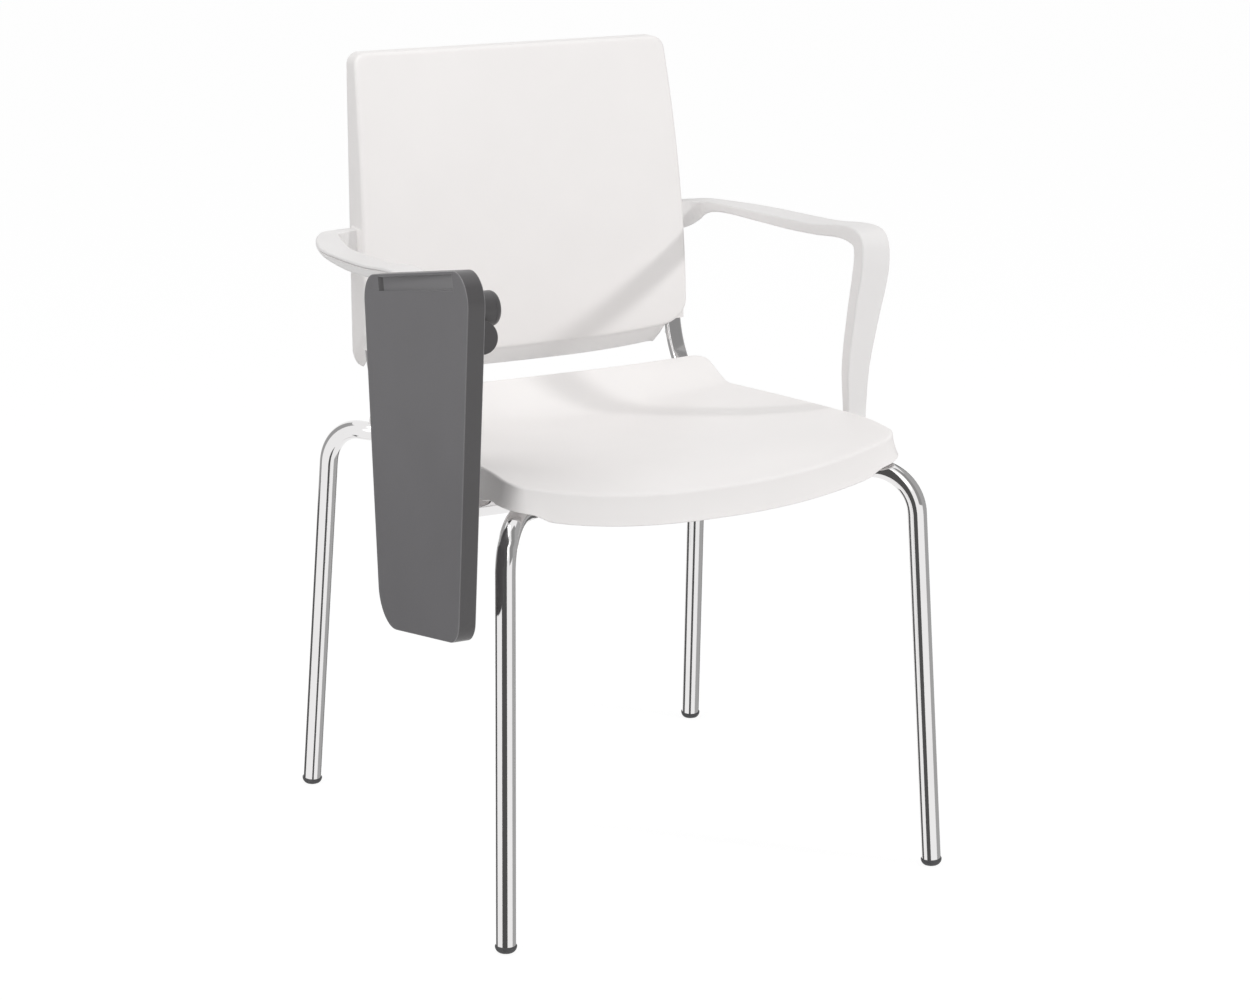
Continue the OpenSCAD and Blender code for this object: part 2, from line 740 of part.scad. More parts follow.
module back_screws() {
  color(steel) both_sides() translate([rail_x, 0, 0]) lock_place() {
    translate([0, 0, -head_h - seat_gap]) cylinder(h = head_h, d = head_d);
    translate([0, 0, -1]) cylinder(h = 1 + sleeve_wall + rail_wall + 3, d = screw_d);
  }
}

// Arms: a rounded section carried through stations, from the back to the cross tube

foot_x = cross_half + seat_gap;
root_x = pad_x + seat_gap;
arm_mid = arm_outer - arm_w / 2;
arm_front_c = -arm_front + arm_upright_t / 2;
arm_top_c = arm_z + arm_rise;
// beside the seat the arm passes clear of the flared rim
arm_pass_w = arm_w - 11;
arm_pass_x = seat_half_at(-arm_front) + seat_flare + arm_clear + arm_pass_w / 2;
// just below the rim's lower edge
arm_pass_z = seat_side_z - seat_side_fall * (-arm_front - seat_side_y) / 1000 - seat_rim - 3;
function arm_reach(s) = mix(root_x, arm_mid, s);
function arm_lean(s) = mix(foot_x + 9, arm_mid, s);
// place, direction of the width, width, thickness
arm_stations = [
  [[root_x, arm_root_y, arm_root_z], [0, 0, 1], arm_root_h, arm_root_t],
  [[root_x + 11, arm_root_y, arm_root_z], [0, 0, 1], arm_root_h - 1, arm_root_t],
  [[arm_reach(0.32), arm_root_y - 2, arm_root_z + 4], [0.25, 0.1, 1], 25, 14],
  [[arm_reach(0.48), arm_root_y - 9, arm_z - 3], [0.6, 0.4, 0.6], 22, 13],
  [[arm_reach(0.62), arm_root_y - 27, arm_z - 1], [0.9, 0.35, 0.14], arm_w - 8, arm_t - 3.5],
  [[arm_reach(0.77), arm_root_y - 56, arm_z - 1], [1, 0.12, 0.02], arm_w - 4, arm_t - 3],
  [[arm_mid - 4.5, 112, arm_z - 0.5], [1, 0, 0], arm_w - 1, arm_t - 1],
  [[arm_mid - 2, 52, arm_z + 1], [1, 0, 0], arm_w, arm_t],
  [[arm_mid - 1, -6, arm_z + 0.45 * arm_rise], [1, 0, 0], arm_w, arm_t],
  [[arm_mid, -50, arm_top_c - 0.5], [1, 0, 0], arm_w, arm_t + 2],
  [[arm_mid, arm_front_c + 20, arm_top_c - 0.5], [1, 0, 0], arm_w, arm_t + 5],
  [[arm_mid, arm_front_c + 5, arm_top_c - 6.5], [1, 0, 0], arm_w, arm_upright_t + 1],
  [[arm_mid - 1, arm_front_c, arm_top_c - 24], [1, 0, 0], arm_w + 1, arm_upright_t],
  [[arm_mid - 3.8, arm_front_c - 0.5, arm_top_c - 46], [1, 0, 0], arm_w + 1, arm_upright_t - 0.5],
  [[arm_lean(0.7) - 0.5, arm_front_c - 1, 555], [1, 0, 0], arm_w - 2, arm_upright_t - 2],
  [[arm_lean(0.47), -arm_front + 7.5, 505], [1, 0, 0], arm_w - 6, 15],
  [[arm_pass_x + 1.5, -arm_front + 6, 460], [1, 0, 0], arm_w - 10, 12.5],
  [[arm_pass_x + 0.5, -arm_front + 4, arm_pass_z + 9], [1, 0, 0], arm_pass_w, 12.5],
  [[arm_pass_x, -arm_front + 2.5, arm_pass_z], [1, 0, 0], arm_pass_w, 12.5],
  [[foot_x + 9, -cross_y, cross_z + 2], [1, 0, 0], arm_foot_len - 3, 13]];
arm_cuts = 2;
section_n = 4;

// a smooth curve through four values, at t between the middle two
function curve4(a, b, c, d, t) =
  0.5 * (2 * b + (c - a) * t + (2 * a - 5 * b + 4 * c - d) * t * t + (3 * b - a - 3 * c + d) * t * t * t);
function at_clamped(list, i) = list[min(len(list) - 1, max(0, i))];
function station(k, t) =
  [for (j = [0:3]) curve4(at_clamped(arm_stations, k - 1)[j], arm_stations[k][j],
    at_clamped(arm_stations, k + 1)[j], at_clamped(arm_stations, k + 2)[j], t)];
arm_line = concat([for (k = [0:len(arm_stations) - 2]) for (c = [0:arm_cuts - 1]) station(k, c / arm_cuts)],
  [arm_stations[len(arm_stations) - 1]]);
function section(w, t) =
  let (r = arm_soft * min(w, t))
  [for (q = [0:3]) for (k = [0:section_n - 1])
    let (a = 90 * q + 90 * k / (section_n - 1), sx = (q == 0 || q == 3) ? 1 : -1, sy = q < 2 ? 1 : -1)
    [sx * (w / 2 - r) + r * cos(a), sy * (t / 2 - r) + r * sin(a)]];
function arm_ring(i) =
  let (s = arm_line[i],
    d = i == 0 ? [1, 0, 0] : unit(at_clamped(arm_line, i + 1)[0] - at_clamped(arm_line, i - 1)[0]),
    w = across(s[1], d), b = cross(d, w))
  [for (p = section(s[2], s[3])) s[0] + w * p.x + b * p.y];

module arm_solid() {
  ring_solid([for (i = [0:len(arm_line) - 1]) arm_ring(i)], flip = true);
  along_x([foot_x, -cross_y, cross_z], arm_foot_len, arm_foot_d);
}

module arm_bores() {
  along_x([foot_x - 5, -cross_y, cross_z], 40, foot_screw_d + 2 * pivot_gap);
  along_x([foot_x + arm_foot_len - foot_head_h - 1, -cross_y, cross_z], 40, foot_head_d + 1);
  for (s = [-1, 1])
    along_x([root_x - 5, arm_root_y, arm_root_z + s * root_screw_dz], 5 + root_bore, screw_d + 2 * pivot_gap);
}

root_bore = 16;
foot_head_d = foot_screw_d * 1.6;
foot_head_h = foot_screw_d * 0.75;

module left_arm() {
  color(white) difference() {
    arm_solid();
    arm_bores();
  }
}

// the right arm carries a flat pad and two bores for the tablet bracket
module right_arm() {
  color(white) mirror([1, 0, 0]) difference() {
    union() {
      arm_solid();
      translate([plate_x - plate_w / 2, -pad_front, plate_z - plate_h / 2])
        cube([plate_w, 11, plate_h]);
    }
    arm_bores();
    for (z = bracket_screw_z)
      along_y([plate_x, -pad_front - 5, z], 5 + bracket_bore, screw_d + 2 * pivot_gap);
  }
}

module arm_foot_screws() {
  bottom = foot_x + arm_foot_len - foot_head_h - 1 + seat_gap;
  color(steel) both_sides() {
    along_x([bottom, -cross_y, cross_z], foot_head_h, foot_head_d);
    along_x([cross_half - 16, -cross_y, cross_z], bottom + 1 - cross_half + 16, foot_screw_d);
  }
}

module arm_root_screws() {
  inner = pad_x - 7 - seat_gap;
  color(steel) both_sides() for (s = [-1, 1]) {
    along_x([inner - head_h, arm_root_y, arm_root_z + s * root_screw_dz], head_h, head_d);
    along_x([inner - 1, arm_root_y, arm_root_z + s * root_screw_dz], root_x + root_bore - inner, screw_d);
  }
}

// Tablet mechanism. It lies on the sitter's right: X counts outwards, then is mirrored.

ear_in = barrel_out + washer_t + 2 * seat_gap;
ear_out = ear_in + ear_t;
plate_x = (ear_in + ear_out) / 2;
swing_z = arm_z - swing_drop;
plate_z = swing_z - 1.5;
pad_front = arm_front + 1;
bracket_bore = 14;
bracket_screw_z = [plate_z - plate_h / 2 + 6, plate_z + plate_h / 2 - 6];
web_h = 23;
pocket_floor = barrel_in + pocket_len;
nut_h = 6;
nut_in = pocket_floor - washer_t - 2 * seat_gap - nut_h;
disc_y = eye_len / 2 + washer_t + 2 * seat_gap;
board_in = board_face - board_t;
leaf_in = board_in - seat_gap - leaf_t;
eye_d = disc_d - 3;

module on_right() {
  mirror([1, 0, 0]) children();
}

// origin on the hinge axis below the barrel, -Y along the axis to the front
module at_hinge() {
  translate([0, -swing_y, swing_z]) rotate([-board_tilt, 0, 0]) translate([0, 0, -hinge_drop]) children();
}

module on_axle(from, len, d) {
  along_x([from, -swing_y, swing_z], len, d);
}

module arm_bracket() {
  plate_front = -pad_front - seat_gap - plate_t;
  color(dark) on_right() difference() {
    union() {
      translate([plate_x - plate_w / 2, plate_front, plate_z - plate_h / 2])
        cube([plate_w, plate_t, plate_h]);
      on_axle(ear_in, ear_t, ear_d);
      translate([ear_in, -swing_y, swing_z - web_h / 2])
        cube([ear_t, swing_y + plate_front + 1, web_h]);
    }
    on_axle(ear_in - 5, ear_t + 10, axle_d + 2 * pivot_gap);
    for (z = bracket_screw_z)
      along_y([plate_x, plate_front - 5, z], plate_t + 10, screw_d + 2 * pivot_gap);
  }
}

module bracket_screws() {
  face = -pad_front - 2 * seat_gap - plate_t;
  color(steel) on_right() for (z = bracket_screw_z) {
    along_y([plate_x, face - head_h, z], head_h, head_d);
    along_y([plate_x, face - 1, z], plate_t + bracket_bore, screw_d);
  }
}

module swing_axle() {
  color(steel) on_right() {
    on_axle(nut_in - 1, ear_out + seat_gap - nut_in + 2, axle_d);
    on_axle(ear_out + seat_gap, 5, axle_d * 1.75);
  }
}

module axle_washers() {
  color(white) on_right() {
    difference() {
      on_axle(barrel_out + seat_gap, washer_t, barrel_d - 6);
      on_axle(barrel_out - 5, 20, axle_d + 2 * pivot_gap);
    }
    difference() {
      on_axle(pocket_floor - seat_gap - washer_t, washer_t, pocket_d - 5);
      on_axle(pocket_floor - 10, 20, axle_d + 2 * pivot_gap);
    }
  }
}

module axle_nut() {
  color(steel) on_right() difference() {
    translate([nut_in, -swing_y, swing_z]) rotate([0, 90, 0])
      cylinder(h = nut_h, d = axle_d * 1.85, $fn = 6);
    on_axle(nut_in - 5, nut_h + 10, axle_d + 2 * pivot_gap);
  }
}

// the barrel on the axle, and the neck with the hinge eye below it
module swing_block() {
  color(dark) on_right() difference() {
    union() {
      on_axle(barrel_in, barrel_out - barrel_in, barrel_d);
      at_hinge() {
        along_y([hinge_x, -eye_len / 2, 0], eye_len, eye_d);
        translate([hinge_x - 13, -eye_len / 2 + 2, 0]) cube([26, eye_len - 4, hinge_drop]);
      }
    }
    on_axle(barrel_in - 5, 80, axle_d + 2 * pivot_gap);
    on_axle(barrel_in - 5, pocket_len + 5, pocket_d);
    at_hinge() along_y([hinge_x, -eye_len, 0], 2 * eye_len, pin_d + 2 * pivot_gap);
  }
}

module barrel_cap() {
  color(dark) on_right() translate([barrel_in - seat_gap, -swing_y, swing_z]) {
    rotate([0, -90, 0]) rotate_extrude() {
      square([barrel_d / 2 - cap_len, cap_len]);
      intersection() {
        translate([barrel_d / 2 - cap_len, 0]) circle(r = cap_len);
        square([barrel_d, barrel_d]);
      }
    }
    rotate([0, 90, 0]) translate([0, 0, -1]) linear_extrude(4)
      ring2d(pocket_d - 2 * seat_gap, 2.5);
  }
}

module hinge_pin() {
  half = disc_y + disc_t - 0.3;
  color(steel) on_right() at_hinge() along_y([hinge_x, -half, 0], 2 * half, pin_d);
}

module hinge_washers() {
  color(white) on_right() at_hinge() for (s = [0, 1]) mirror([0, s, 0]) difference() {
    along_y([hinge_x, eye_len / 2 + seat_gap, 0], washer_t, eye_d - 2);
    along_y([hinge_x, 0, 0], 2 * eye_len, pin_d + 2 * pivot_gap);
  }
}

// Tablet: a fork on the pin, a leaf under the board, the board itself

leaf_y = [-56, disc_y + disc_t];
leaf_half = 30;
leaf_screws = [[-46, -22], [-46, 22], [0, -22], [0, 22]];
leaf_bore = 10;

module tablet_carrier() {
  color(dark) on_right() at_hinge() difference() {
    union() {
      for (s = [0, 1]) mirror([0, s, 0]) {
        along_y([hinge_x, disc_y, 0], disc_t, disc_d);
        // the bar widens downwards to the leaf and stays clear of the barrel above
        translate([0, disc_y + disc_t, 0]) rotate([90, 0, 0]) linear_extrude(disc_t)
          polygon([[hinge_x, -disc_d * 0.35], [hinge_x, 7], [leaf_in + 1, 7], [leaf_in + 1, -leaf_half + 4]]);
      }
      translate([leaf_in, leaf_y[0], -leaf_half]) cube([leaf_t, leaf_y[1] - leaf_y[0], 2 * leaf_half]);
    }
    along_y([hinge_x, -50, 0], 100, pin_d + 2 * pivot_gap);
    for (p = leaf_screws)
      along_x([leaf_in - 5, p.x, p.y], leaf_t + 10, screw_d + 2 * pivot_gap);
  }
}

module hinge_caps() {
  color(dark) on_right() at_hinge() for (s = [0, 1]) mirror([0, s, 0])
    along_y([hinge_x, disc_y + disc_t + seat_gap, 0], hinge_cap_t, disc_d);
}

// corners of the board in the hinge frame: depth along the hinge, height
board_corners = [
  [board_behind - board_w, board_above],
  [board_behind + board_flare - board_low_w, board_above - board_len],
  [board_behind + board_flare, board_above - board_len],
  [board_behind, board_above]];
board_radii = [board_r, board_front_r, board_rear_r, board_r];

// a flat outline with exact round corners
function corner_u(p, i, k) = unit(p[(i + k) % len(p)] - p[i]);
function corner_half(p, i) = acos(corner_u(p, i, 1) * corner_u(p, i, len(p) - 1)) / 2;
function corner_point(p, r, i, k) = p[i] + corner_u(p, i, k) * r[i] / tan(corner_half(p, i));
function corner_centre(p, r, i) =
  p[i] + unit(corner_u(p, i, 1) + corner_u(p, i, len(p) - 1)) * r[i] / sin(corner_half(p, i));

module rounded2d(p, r) {
  polygon([for (i = [0:len(p) - 1]) each [corner_point(p, r, i, len(p) - 1), corner_point(p, r, i, 1)]]);
  for (i = [0:len(p) - 1]) translate(corner_centre(p, r, i)) circle(r = r[i]);
}

groove_from = board_behind - board_w / 2 - groove_len / 2;
groove_low = board_above - 3 - groove_w;

module tablet_board() {
  color(slate) on_right() at_hinge() difference() {
    translate([board_in, 0, 0]) rotate([90, 0, 90]) linear_extrude(board_t)
      rounded2d(board_corners, board_radii);
    // pen groove with a sloped rear end
    translate([0, 0, groove_low]) linear_extrude(groove_w) polygon([
      [board_face - groove_depth, groove_from],
      [board_face + 1, groove_from],
      [board_face + 1, groove_from + groove_len + 4 * groove_depth / 3],
      [board_face - groove_depth, groove_from + groove_len - groove_depth]]);
    for (p = leaf_screws)
      along_x([board_in - 5, p.x, p.y], 5 + leaf_bore, screw_d + 2 * pivot_gap);
  }
}

module carrier_screws() {
  color(steel) on_right() at_hinge() for (p = leaf_screws) {
    along_x([leaf_in - seat_gap - head_h, p.x, p.y], head_h, head_d);
    along_x([leaf_in - 1, p.x, p.y], leaf_t + leaf_bore, screw_d);
  }
}

// The origin: the middle of the whole box, on the floor

function hinge_world(y, z) =
  [-swing_y + y * cos(board_tilt) + (z - hinge_drop) * sin(board_tilt),
    swing_z - y * sin(board_tilt) + (z - hinge_drop) * cos(board_tilt)];
front_centre = corner_centre(board_corners, board_radii, 0);
box_front = hinge_world(front_centre.x, front_centre.y)[0] - board_r;
box_rear = rear_foot_y + leg_d / 2 + foot_lip;
shift = [(board_face - arm_outer) / 2, -(box_front + box_rear) / 2, 0];
hinge_mid = hinge_world(0, 0);
echo(shift = shift);
echo(swing_axis = shift + [-plate_x, -swing_y, swing_z]);
echo(fold_axis = shift + [-hinge_x, hinge_mid[0], hinge_mid[1]], towards = [0, -cos(board_tilt), sin(board_tilt)]);

module in_frame() {
  translate(shift) children();
}

in_frame() front_leg_arch();
in_frame() rear_leg_arch();
in_frame() left_back_rail();
in_frame() right_back_rail();
in_frame() arm_cross_tube();
in_frame() tube_end_plugs();
in_frame() foot_front_left();
in_frame() foot_front_right();
in_frame() foot_rear_left();
in_frame() foot_rear_right();
in_frame() seat_shell();
in_frame() seat_screws();
in_frame() back_shell();
in_frame() back_screws();
in_frame() left_arm();
in_frame() right_arm();
in_frame() arm_foot_screws();
in_frame() arm_root_screws();
in_frame() arm_bracket();
in_frame() bracket_screws();
in_frame() swing_axle();
in_frame() axle_washers();
in_frame() axle_nut();
in_frame() swing_block();
in_frame() barrel_cap();
in_frame() hinge_pin();
in_frame() hinge_washers();
in_frame() tablet_carrier();
in_frame() hinge_caps();
in_frame() tablet_board();
in_frame() carrier_screws();
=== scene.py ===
import math
import bmesh
import bpy
import numpy as np
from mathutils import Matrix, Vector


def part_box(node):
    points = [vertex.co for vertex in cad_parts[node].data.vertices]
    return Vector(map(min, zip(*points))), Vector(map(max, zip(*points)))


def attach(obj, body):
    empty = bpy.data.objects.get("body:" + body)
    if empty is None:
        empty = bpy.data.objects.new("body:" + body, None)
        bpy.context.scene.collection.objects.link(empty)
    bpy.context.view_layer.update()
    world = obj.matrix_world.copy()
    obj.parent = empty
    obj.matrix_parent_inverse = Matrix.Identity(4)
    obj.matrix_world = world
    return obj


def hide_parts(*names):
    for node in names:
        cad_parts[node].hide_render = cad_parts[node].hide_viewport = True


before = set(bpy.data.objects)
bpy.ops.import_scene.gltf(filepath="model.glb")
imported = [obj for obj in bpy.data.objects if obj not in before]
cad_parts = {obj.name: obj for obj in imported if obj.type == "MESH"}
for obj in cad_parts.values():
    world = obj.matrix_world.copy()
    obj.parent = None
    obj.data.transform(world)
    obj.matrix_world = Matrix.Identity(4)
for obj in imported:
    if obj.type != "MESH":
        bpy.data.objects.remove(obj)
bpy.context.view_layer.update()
print("frame loaded:", len(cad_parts), "nodes")

# The chair's own middle plane and stance middle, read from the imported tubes.
# Every shape below is worked out in millimetres from that point: +X to the sitter's
# left, +Y backwards, +Z up.
archLow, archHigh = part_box("front_leg_arch")
tubeLow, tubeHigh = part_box("arm_cross_tube")
crossTube = {"ahead": 112.0, "diameter": 20.0, "half": 215.0}
chairMiddle = np.array([
    (archLow[0] + archHigh[0]) / 2,
    (tubeLow[1] + tubeHigh[1]) / 2 + crossTube["ahead"] / 1000,
    0.0])
sharpAngles = {"tube": 40, "foot": 45, "shell": 50, "screw": 35}   # degrees past which an edge shows
fitGap = 0.05           # mm of air between pieces that meet
bothSides = (1, -1)     # the sitter's left, then right


def toFrame(points):
    # millimetres in the chair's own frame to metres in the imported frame
    return np.asarray(points, float) / 1000 + chairMiddle


def unit(v):
    # each vector divided by its own length
    v = np.asarray(v, float)
    return v / np.linalg.norm(v, axis=-1, keepdims=True)


def smoothStep(t):
    # 0 up to 0, 1 from 1 on, and three squares less two cubes between
    t = np.clip(t, 0, 1)
    return t * t * (3 - 2 * t)


def addObject(name, data):
    # a new object in the scene, at the origin and unturned
    item = bpy.data.objects.new(name, data)
    bpy.context.scene.collection.objects.link(item)
    return item


def newPiece(name, points, faces, material, body, node, sharpAngle, flats=False):
    # points are millimetres in the chair's frame, faces are lists of corner numbers
    mesh = bpy.data.meshes.new(name)
    mesh.from_pydata(toFrame(points).tolist(), [], faces)
    mesh.polygons.foreach_set("use_smooth", [True] * len(mesh.polygons))
    mesh.set_sharp_from_angle(angle=math.radians(sharpAngle))
    mesh.materials.append(material)
    mesh.update()
    piece = addObject(name, mesh)
    if flats:
        # wide flats keep their own shading beside narrow rounded edges
        keep = piece.modifiers.new("flatFaces", "WEIGHTED_NORMAL")
        keep.keep_sharp = True
    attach(piece, body)
    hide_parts(node)


def ringFaces(ringCount, pointCount, start=0, flip=False, closeEnds=True):
    # quads between neighbouring closed rings, and one flat face over each end
    j, i = np.meshgrid(np.arange(ringCount - 1), np.arange(pointCount), indexing="ij")
    k = (i + 1) % pointCount
    a, b = j * pointCount + i, j * pointCount + k
    quads = np.stack([a, a + pointCount, b + pointCount, b], -1).reshape(-1, 4) + start
    if flip:
        quads = quads[:, ::-1]
    faces = quads.tolist()
    if closeEnds:
        first = (np.arange(pointCount) + start).tolist()
        last = (np.arange(pointCount) + start + (ringCount - 1) * pointCount).tolist()
        faces += [first[::-1], last] if flip else [first, last[::-1]]
    return faces


def joinRings(groups):
    # several ring surfaces in one mesh: each group is (rings, flip)
    points, faces, start = [], [], 0
    for rings, flip in groups:
        m, n = rings.shape[:2]
        points.append(rings.reshape(-1, 3))
        faces += ringFaces(m, n, start, flip)
        start += m * n
    return np.concatenate(points), faces


def bentLine(corners, radii, arcSteps=24):
    # straight runs between corners, each corner replaced by an arc of its own radius
    corners = np.asarray(corners, float)
    line = [corners[0]]
    for i in range(1, len(corners) - 1):
        before = unit(corners[i] - corners[i - 1])
        after = unit(corners[i + 1] - corners[i])
        turn = math.acos(float(np.clip(before @ after, -1, 1)))
        reach = radii[i] * math.tan(turn / 2)
        inward = unit(after - (after @ before) * before)
        start = corners[i] - before * reach
        centre = start + inward * radii[i]
        t = np.linspace(0, turn, arcSteps)[:, None]
        line += list(centre - inward * radii[i] * np.cos(t) + before * radii[i] * np.sin(t))
    line.append(corners[-1])
    return np.array(line)


def sweep(line, profile, side):
    # a closed flat profile (u, v) carried along a line; v keeps to the side direction
    ahead = unit(np.gradient(line, axis=0))
    side = np.broadcast_to(np.asarray(side, float), line.shape)
    v = unit(side - (side * ahead).sum(1, keepdims=True) * ahead)
    u = np.cross(v, ahead)
    return line[:, None] + u[:, None] * profile[None, :, :1] + v[:, None] * profile[None, :, 1:]


def circleProfile(diameter, count=40):
    # points spread evenly round a circle
    a = np.linspace(0, 2 * math.pi, count, endpoint=False)
    return np.stack([np.cos(a), np.sin(a)], 1) * diameter / 2


def roundedRectangle(halfU, halfV, r, count):
    # a rectangle about its middle with a quarter circle at each corner, anticlockwise
    a = np.linspace(0, math.pi / 2, count)
    angle = np.concatenate([a + k * math.pi / 2 for k in range(4)])
    signU = np.repeat([1, -1, -1, 1], count)
    signV = np.repeat([1, 1, -1, -1], count)
    return signU * (halfU - r) + r * np.cos(angle), signV * (halfV - r) + r * np.sin(angle)


def lathe(profile, count, origin, axis, side):
    # a profile of (radius, distance along the axis) turned once round the axis
    axis, side = unit(axis), np.asarray(side, float)
    x = unit(side - (side @ axis) * axis)
    y = np.cross(axis, x)
    a = np.linspace(0, 2 * math.pi, count, endpoint=False)[None, :, None]
    r, h = np.asarray(profile, float).T[:, :, None, None]
    return np.asarray(origin, float) + r * (np.cos(a) * x + np.sin(a) * y) + h * axis


# Materials

whitePlasticLook = {
    "colour": (0.885, 0.862, 0.852), "roughness": 0.42, "swing": 0.05,
    "grain": 1400.0, "bump": 0.05, "drift": 0.012}
# the arms' copy of the white plastic, made darker: painted shade over the arms
armShadedPlasticLook = {
    "colour": (0.805, 0.79, 0.785), "roughness": 0.46, "swing": 0.05,
    "grain": 1400.0, "bump": 0.05, "drift": 0.012}
slateLook = {
    "colour": (0.152, 0.148, 0.155), "roughness": 0.40, "swing": 0.05,
    "grain": 900.0, "bump": 0.06, "drift": 0.03}
# a lighter slate for the board's bevels and the pen groove's floor: a painted highlight on the bevels,
# painted light on the groove's floor
boardHighlightLook = {
    "colour": (0.200, 0.196, 0.203), "roughness": 0.30, "swing": 0.05,
    "grain": 900.0, "bump": 0.03, "drift": 0.02}
darkLook = {
    "colour": (0.074, 0.071, 0.073), "roughness": 0.36, "swing": 0.05,
    "grain": 1100.0, "bump": 0.06, "drift": 0.04}
footLook = {
    "colour": (0.075, 0.075, 0.078), "roughness": 0.6, "swing": 0.05,
    "grain": 700.0, "bump": 0.08, "drift": 0.05}
nylonLook = {
    "colour": (0.74, 0.74, 0.72), "roughness": 0.45, "swing": 0.05,
    "grain": 900.0, "bump": 0.04, "drift": 0.012}
chromeLook = {"colour": (0.82, 0.81, 0.81), "roughness": 0.07, "swing": 0.012}
steelLook = {"colour": (0.60, 0.61, 0.63), "roughness": 0.3, "swing": 0.08}
mouldMarks = {"driftScale": 9.0, "detail": 2.0, "deep": 0.0003}      # deep in metres
polishMarks = {
    "hazeScale": 14.0, "hazeDetail": 4.0, "haze": 0.02,
    "lineScale": 220.0, "lineDetail": 2.0, "lineStretch": (1, 1, 0.05), "smoothest": 0.02}


def newMaterial(name, colour):
    # a material with its nodes, links and one plain shader
    material = bpy.data.materials.new(name)
    material.use_nodes = True
    nodes = material.node_tree.nodes
    shader = nodes["Principled BSDF"]
    shader.inputs["Base Color"].default_value = (*colour, 1)
    return material, nodes, material.node_tree.links, shader


def noiseNode(nodes, links, scale, detail, stretch=(1, 1, 1)):
    # a noise on the piece's own coordinates, in metres
    place = nodes.new("ShaderNodeTexCoord")
    mapping = nodes.new("ShaderNodeMapping")
    mapping.inputs["Scale"].default_value = stretch
    noise = nodes.new("ShaderNodeTexNoise")
    noise.inputs["Scale"].default_value = scale
    noise.inputs["Detail"].default_value = detail
    links.new(place.outputs["Object"], mapping.inputs["Vector"])
    links.new(mapping.outputs["Vector"], noise.inputs["Vector"])
    return noise.outputs["Fac"]


def setShade(nodes, links, shader, source, colour, amount):
    # the colour, a little darker and lighter with a slow noise
    ramp = nodes.new("ShaderNodeValToRGB")
    for stop, place, share in zip(ramp.color_ramp.elements, (0.3, 0.7), (1 - amount, 1 + amount)):
        stop.position = place
        stop.color = (*[min(1, c * share) for c in colour], 1)
    links.new(source, ramp.inputs["Fac"])
    links.new(ramp.outputs["Color"], shader.inputs["Base Color"])


def setRoughness(nodes, links, shader, source, look, smoothest=0.0):
    # the roughness swings evenly to both sides of its middle with a noise
    ramp = nodes.new("ShaderNodeMapRange")
    ramp.inputs["To Min"].default_value = max(smoothest, look["roughness"] - look["swing"])
    ramp.inputs["To Max"].default_value = look["roughness"] + look["swing"]
    links.new(source, ramp.inputs["Value"])
    links.new(ramp.outputs["Result"], shader.inputs["Roughness"])


def mouldedPlastic(name, look):
    # a fine spark-eroded grain in relief and gloss, and a slow drift of shade from moulding
    material, nodes, links, shader = newMaterial(name, look["colour"])
    slow = noiseNode(nodes, links, mouldMarks["driftScale"], mouldMarks["detail"])
    grain = noiseNode(nodes, links, look["grain"], mouldMarks["detail"])
    setShade(nodes, links, shader, slow, look["colour"], look["drift"])
    setRoughness(nodes, links, shader, grain, look)
    bump = nodes.new("ShaderNodeBump")
    bump.inputs["Strength"].default_value = look["bump"]
    bump.inputs["Distance"].default_value = mouldMarks["deep"]
    links.new(grain, bump.inputs["Height"])
    links.new(bump.outputs["Normal"], shader.inputs["Normal"])
    return material


def polishedMetal(name, look):
    # plated metal: a mirror with faint upright polish marks and a slow haze
    material, nodes, links, shader = newMaterial(name, look["colour"])
    shader.inputs["Metallic"].default_value = 1.0
    haze = noiseNode(nodes, links, polishMarks["hazeScale"], polishMarks["hazeDetail"])
    marks = noiseNode(nodes, links, polishMarks["lineScale"], polishMarks["lineDetail"],
                      polishMarks["lineStretch"])
    setShade(nodes, links, shader, haze, look["colour"], polishMarks["haze"])
    setRoughness(nodes, links, shader, marks, look, polishMarks["smoothest"])
    return material


whitePlastic = mouldedPlastic("whiteMouldedPlastic", whitePlasticLook)
armShadedPlastic = mouldedPlastic("whiteArmPaintedShade", armShadedPlasticLook)
slatePlastic = mouldedPlastic("slateBoardPlastic", slateLook)
slatePaintedHighlight = mouldedPlastic("slateBoardPaintedHighlight", boardHighlightLook)
darkPlastic = mouldedPlastic("darkMouldedPlastic", darkLook)
footPlastic = mouldedPlastic("footPlastic", footLook)
nylon = mouldedPlastic("nylonWasher", nylonLook)
chrome = polishedMetal("chromeTube", chromeLook)
platedSteel = polishedMetal("platedSteel", steelLook)
slotMaterial = {
    "dark_plastic": darkPlastic, "slate_board": slatePlastic, "nylon": nylon, "plated_steel": platedSteel}
print("materials made")


# Camera and studio

cameraPlace = {
    "sensor": 36.0, "lens": 86.92,             # mm
    "spot": (-1395.22, -2749.56, 1211.46),     # mm from the chair's middle
    "yaw": 27.228, "pitch": 15.374}
lamps = {
    "key": {"spot": (2100, -2050, 1900), "aim": (0, 0, 480), "size": 0.22, "watts": 31, "mirrored": False},
    "front": {"spot": (-900, -3000, 2300), "aim": (0, 0, 500), "size": 2.4, "watts": 10, "mirrored": True},
    "left": {"spot": (-2800, -900, 1500), "aim": (0, 0, 450), "size": 2.0, "watts": 4, "mirrored": True},
    "top": {"spot": (-1200, -300, 2600), "aim": (0, 0, 400), "size": 1.8, "watts": 20, "mirrored": True}}
worldLight = {"colour": (1.0, 1.0, 1.0), "strength": 0.5, "seen": 1.0}
floorLook = {
    "colour": (0.9, 0.9, 0.9), "roughness": 0.9, "half": 9.0, "under": 0.0005,   # both in metres
    "white": 1.07, "share": 0.86}
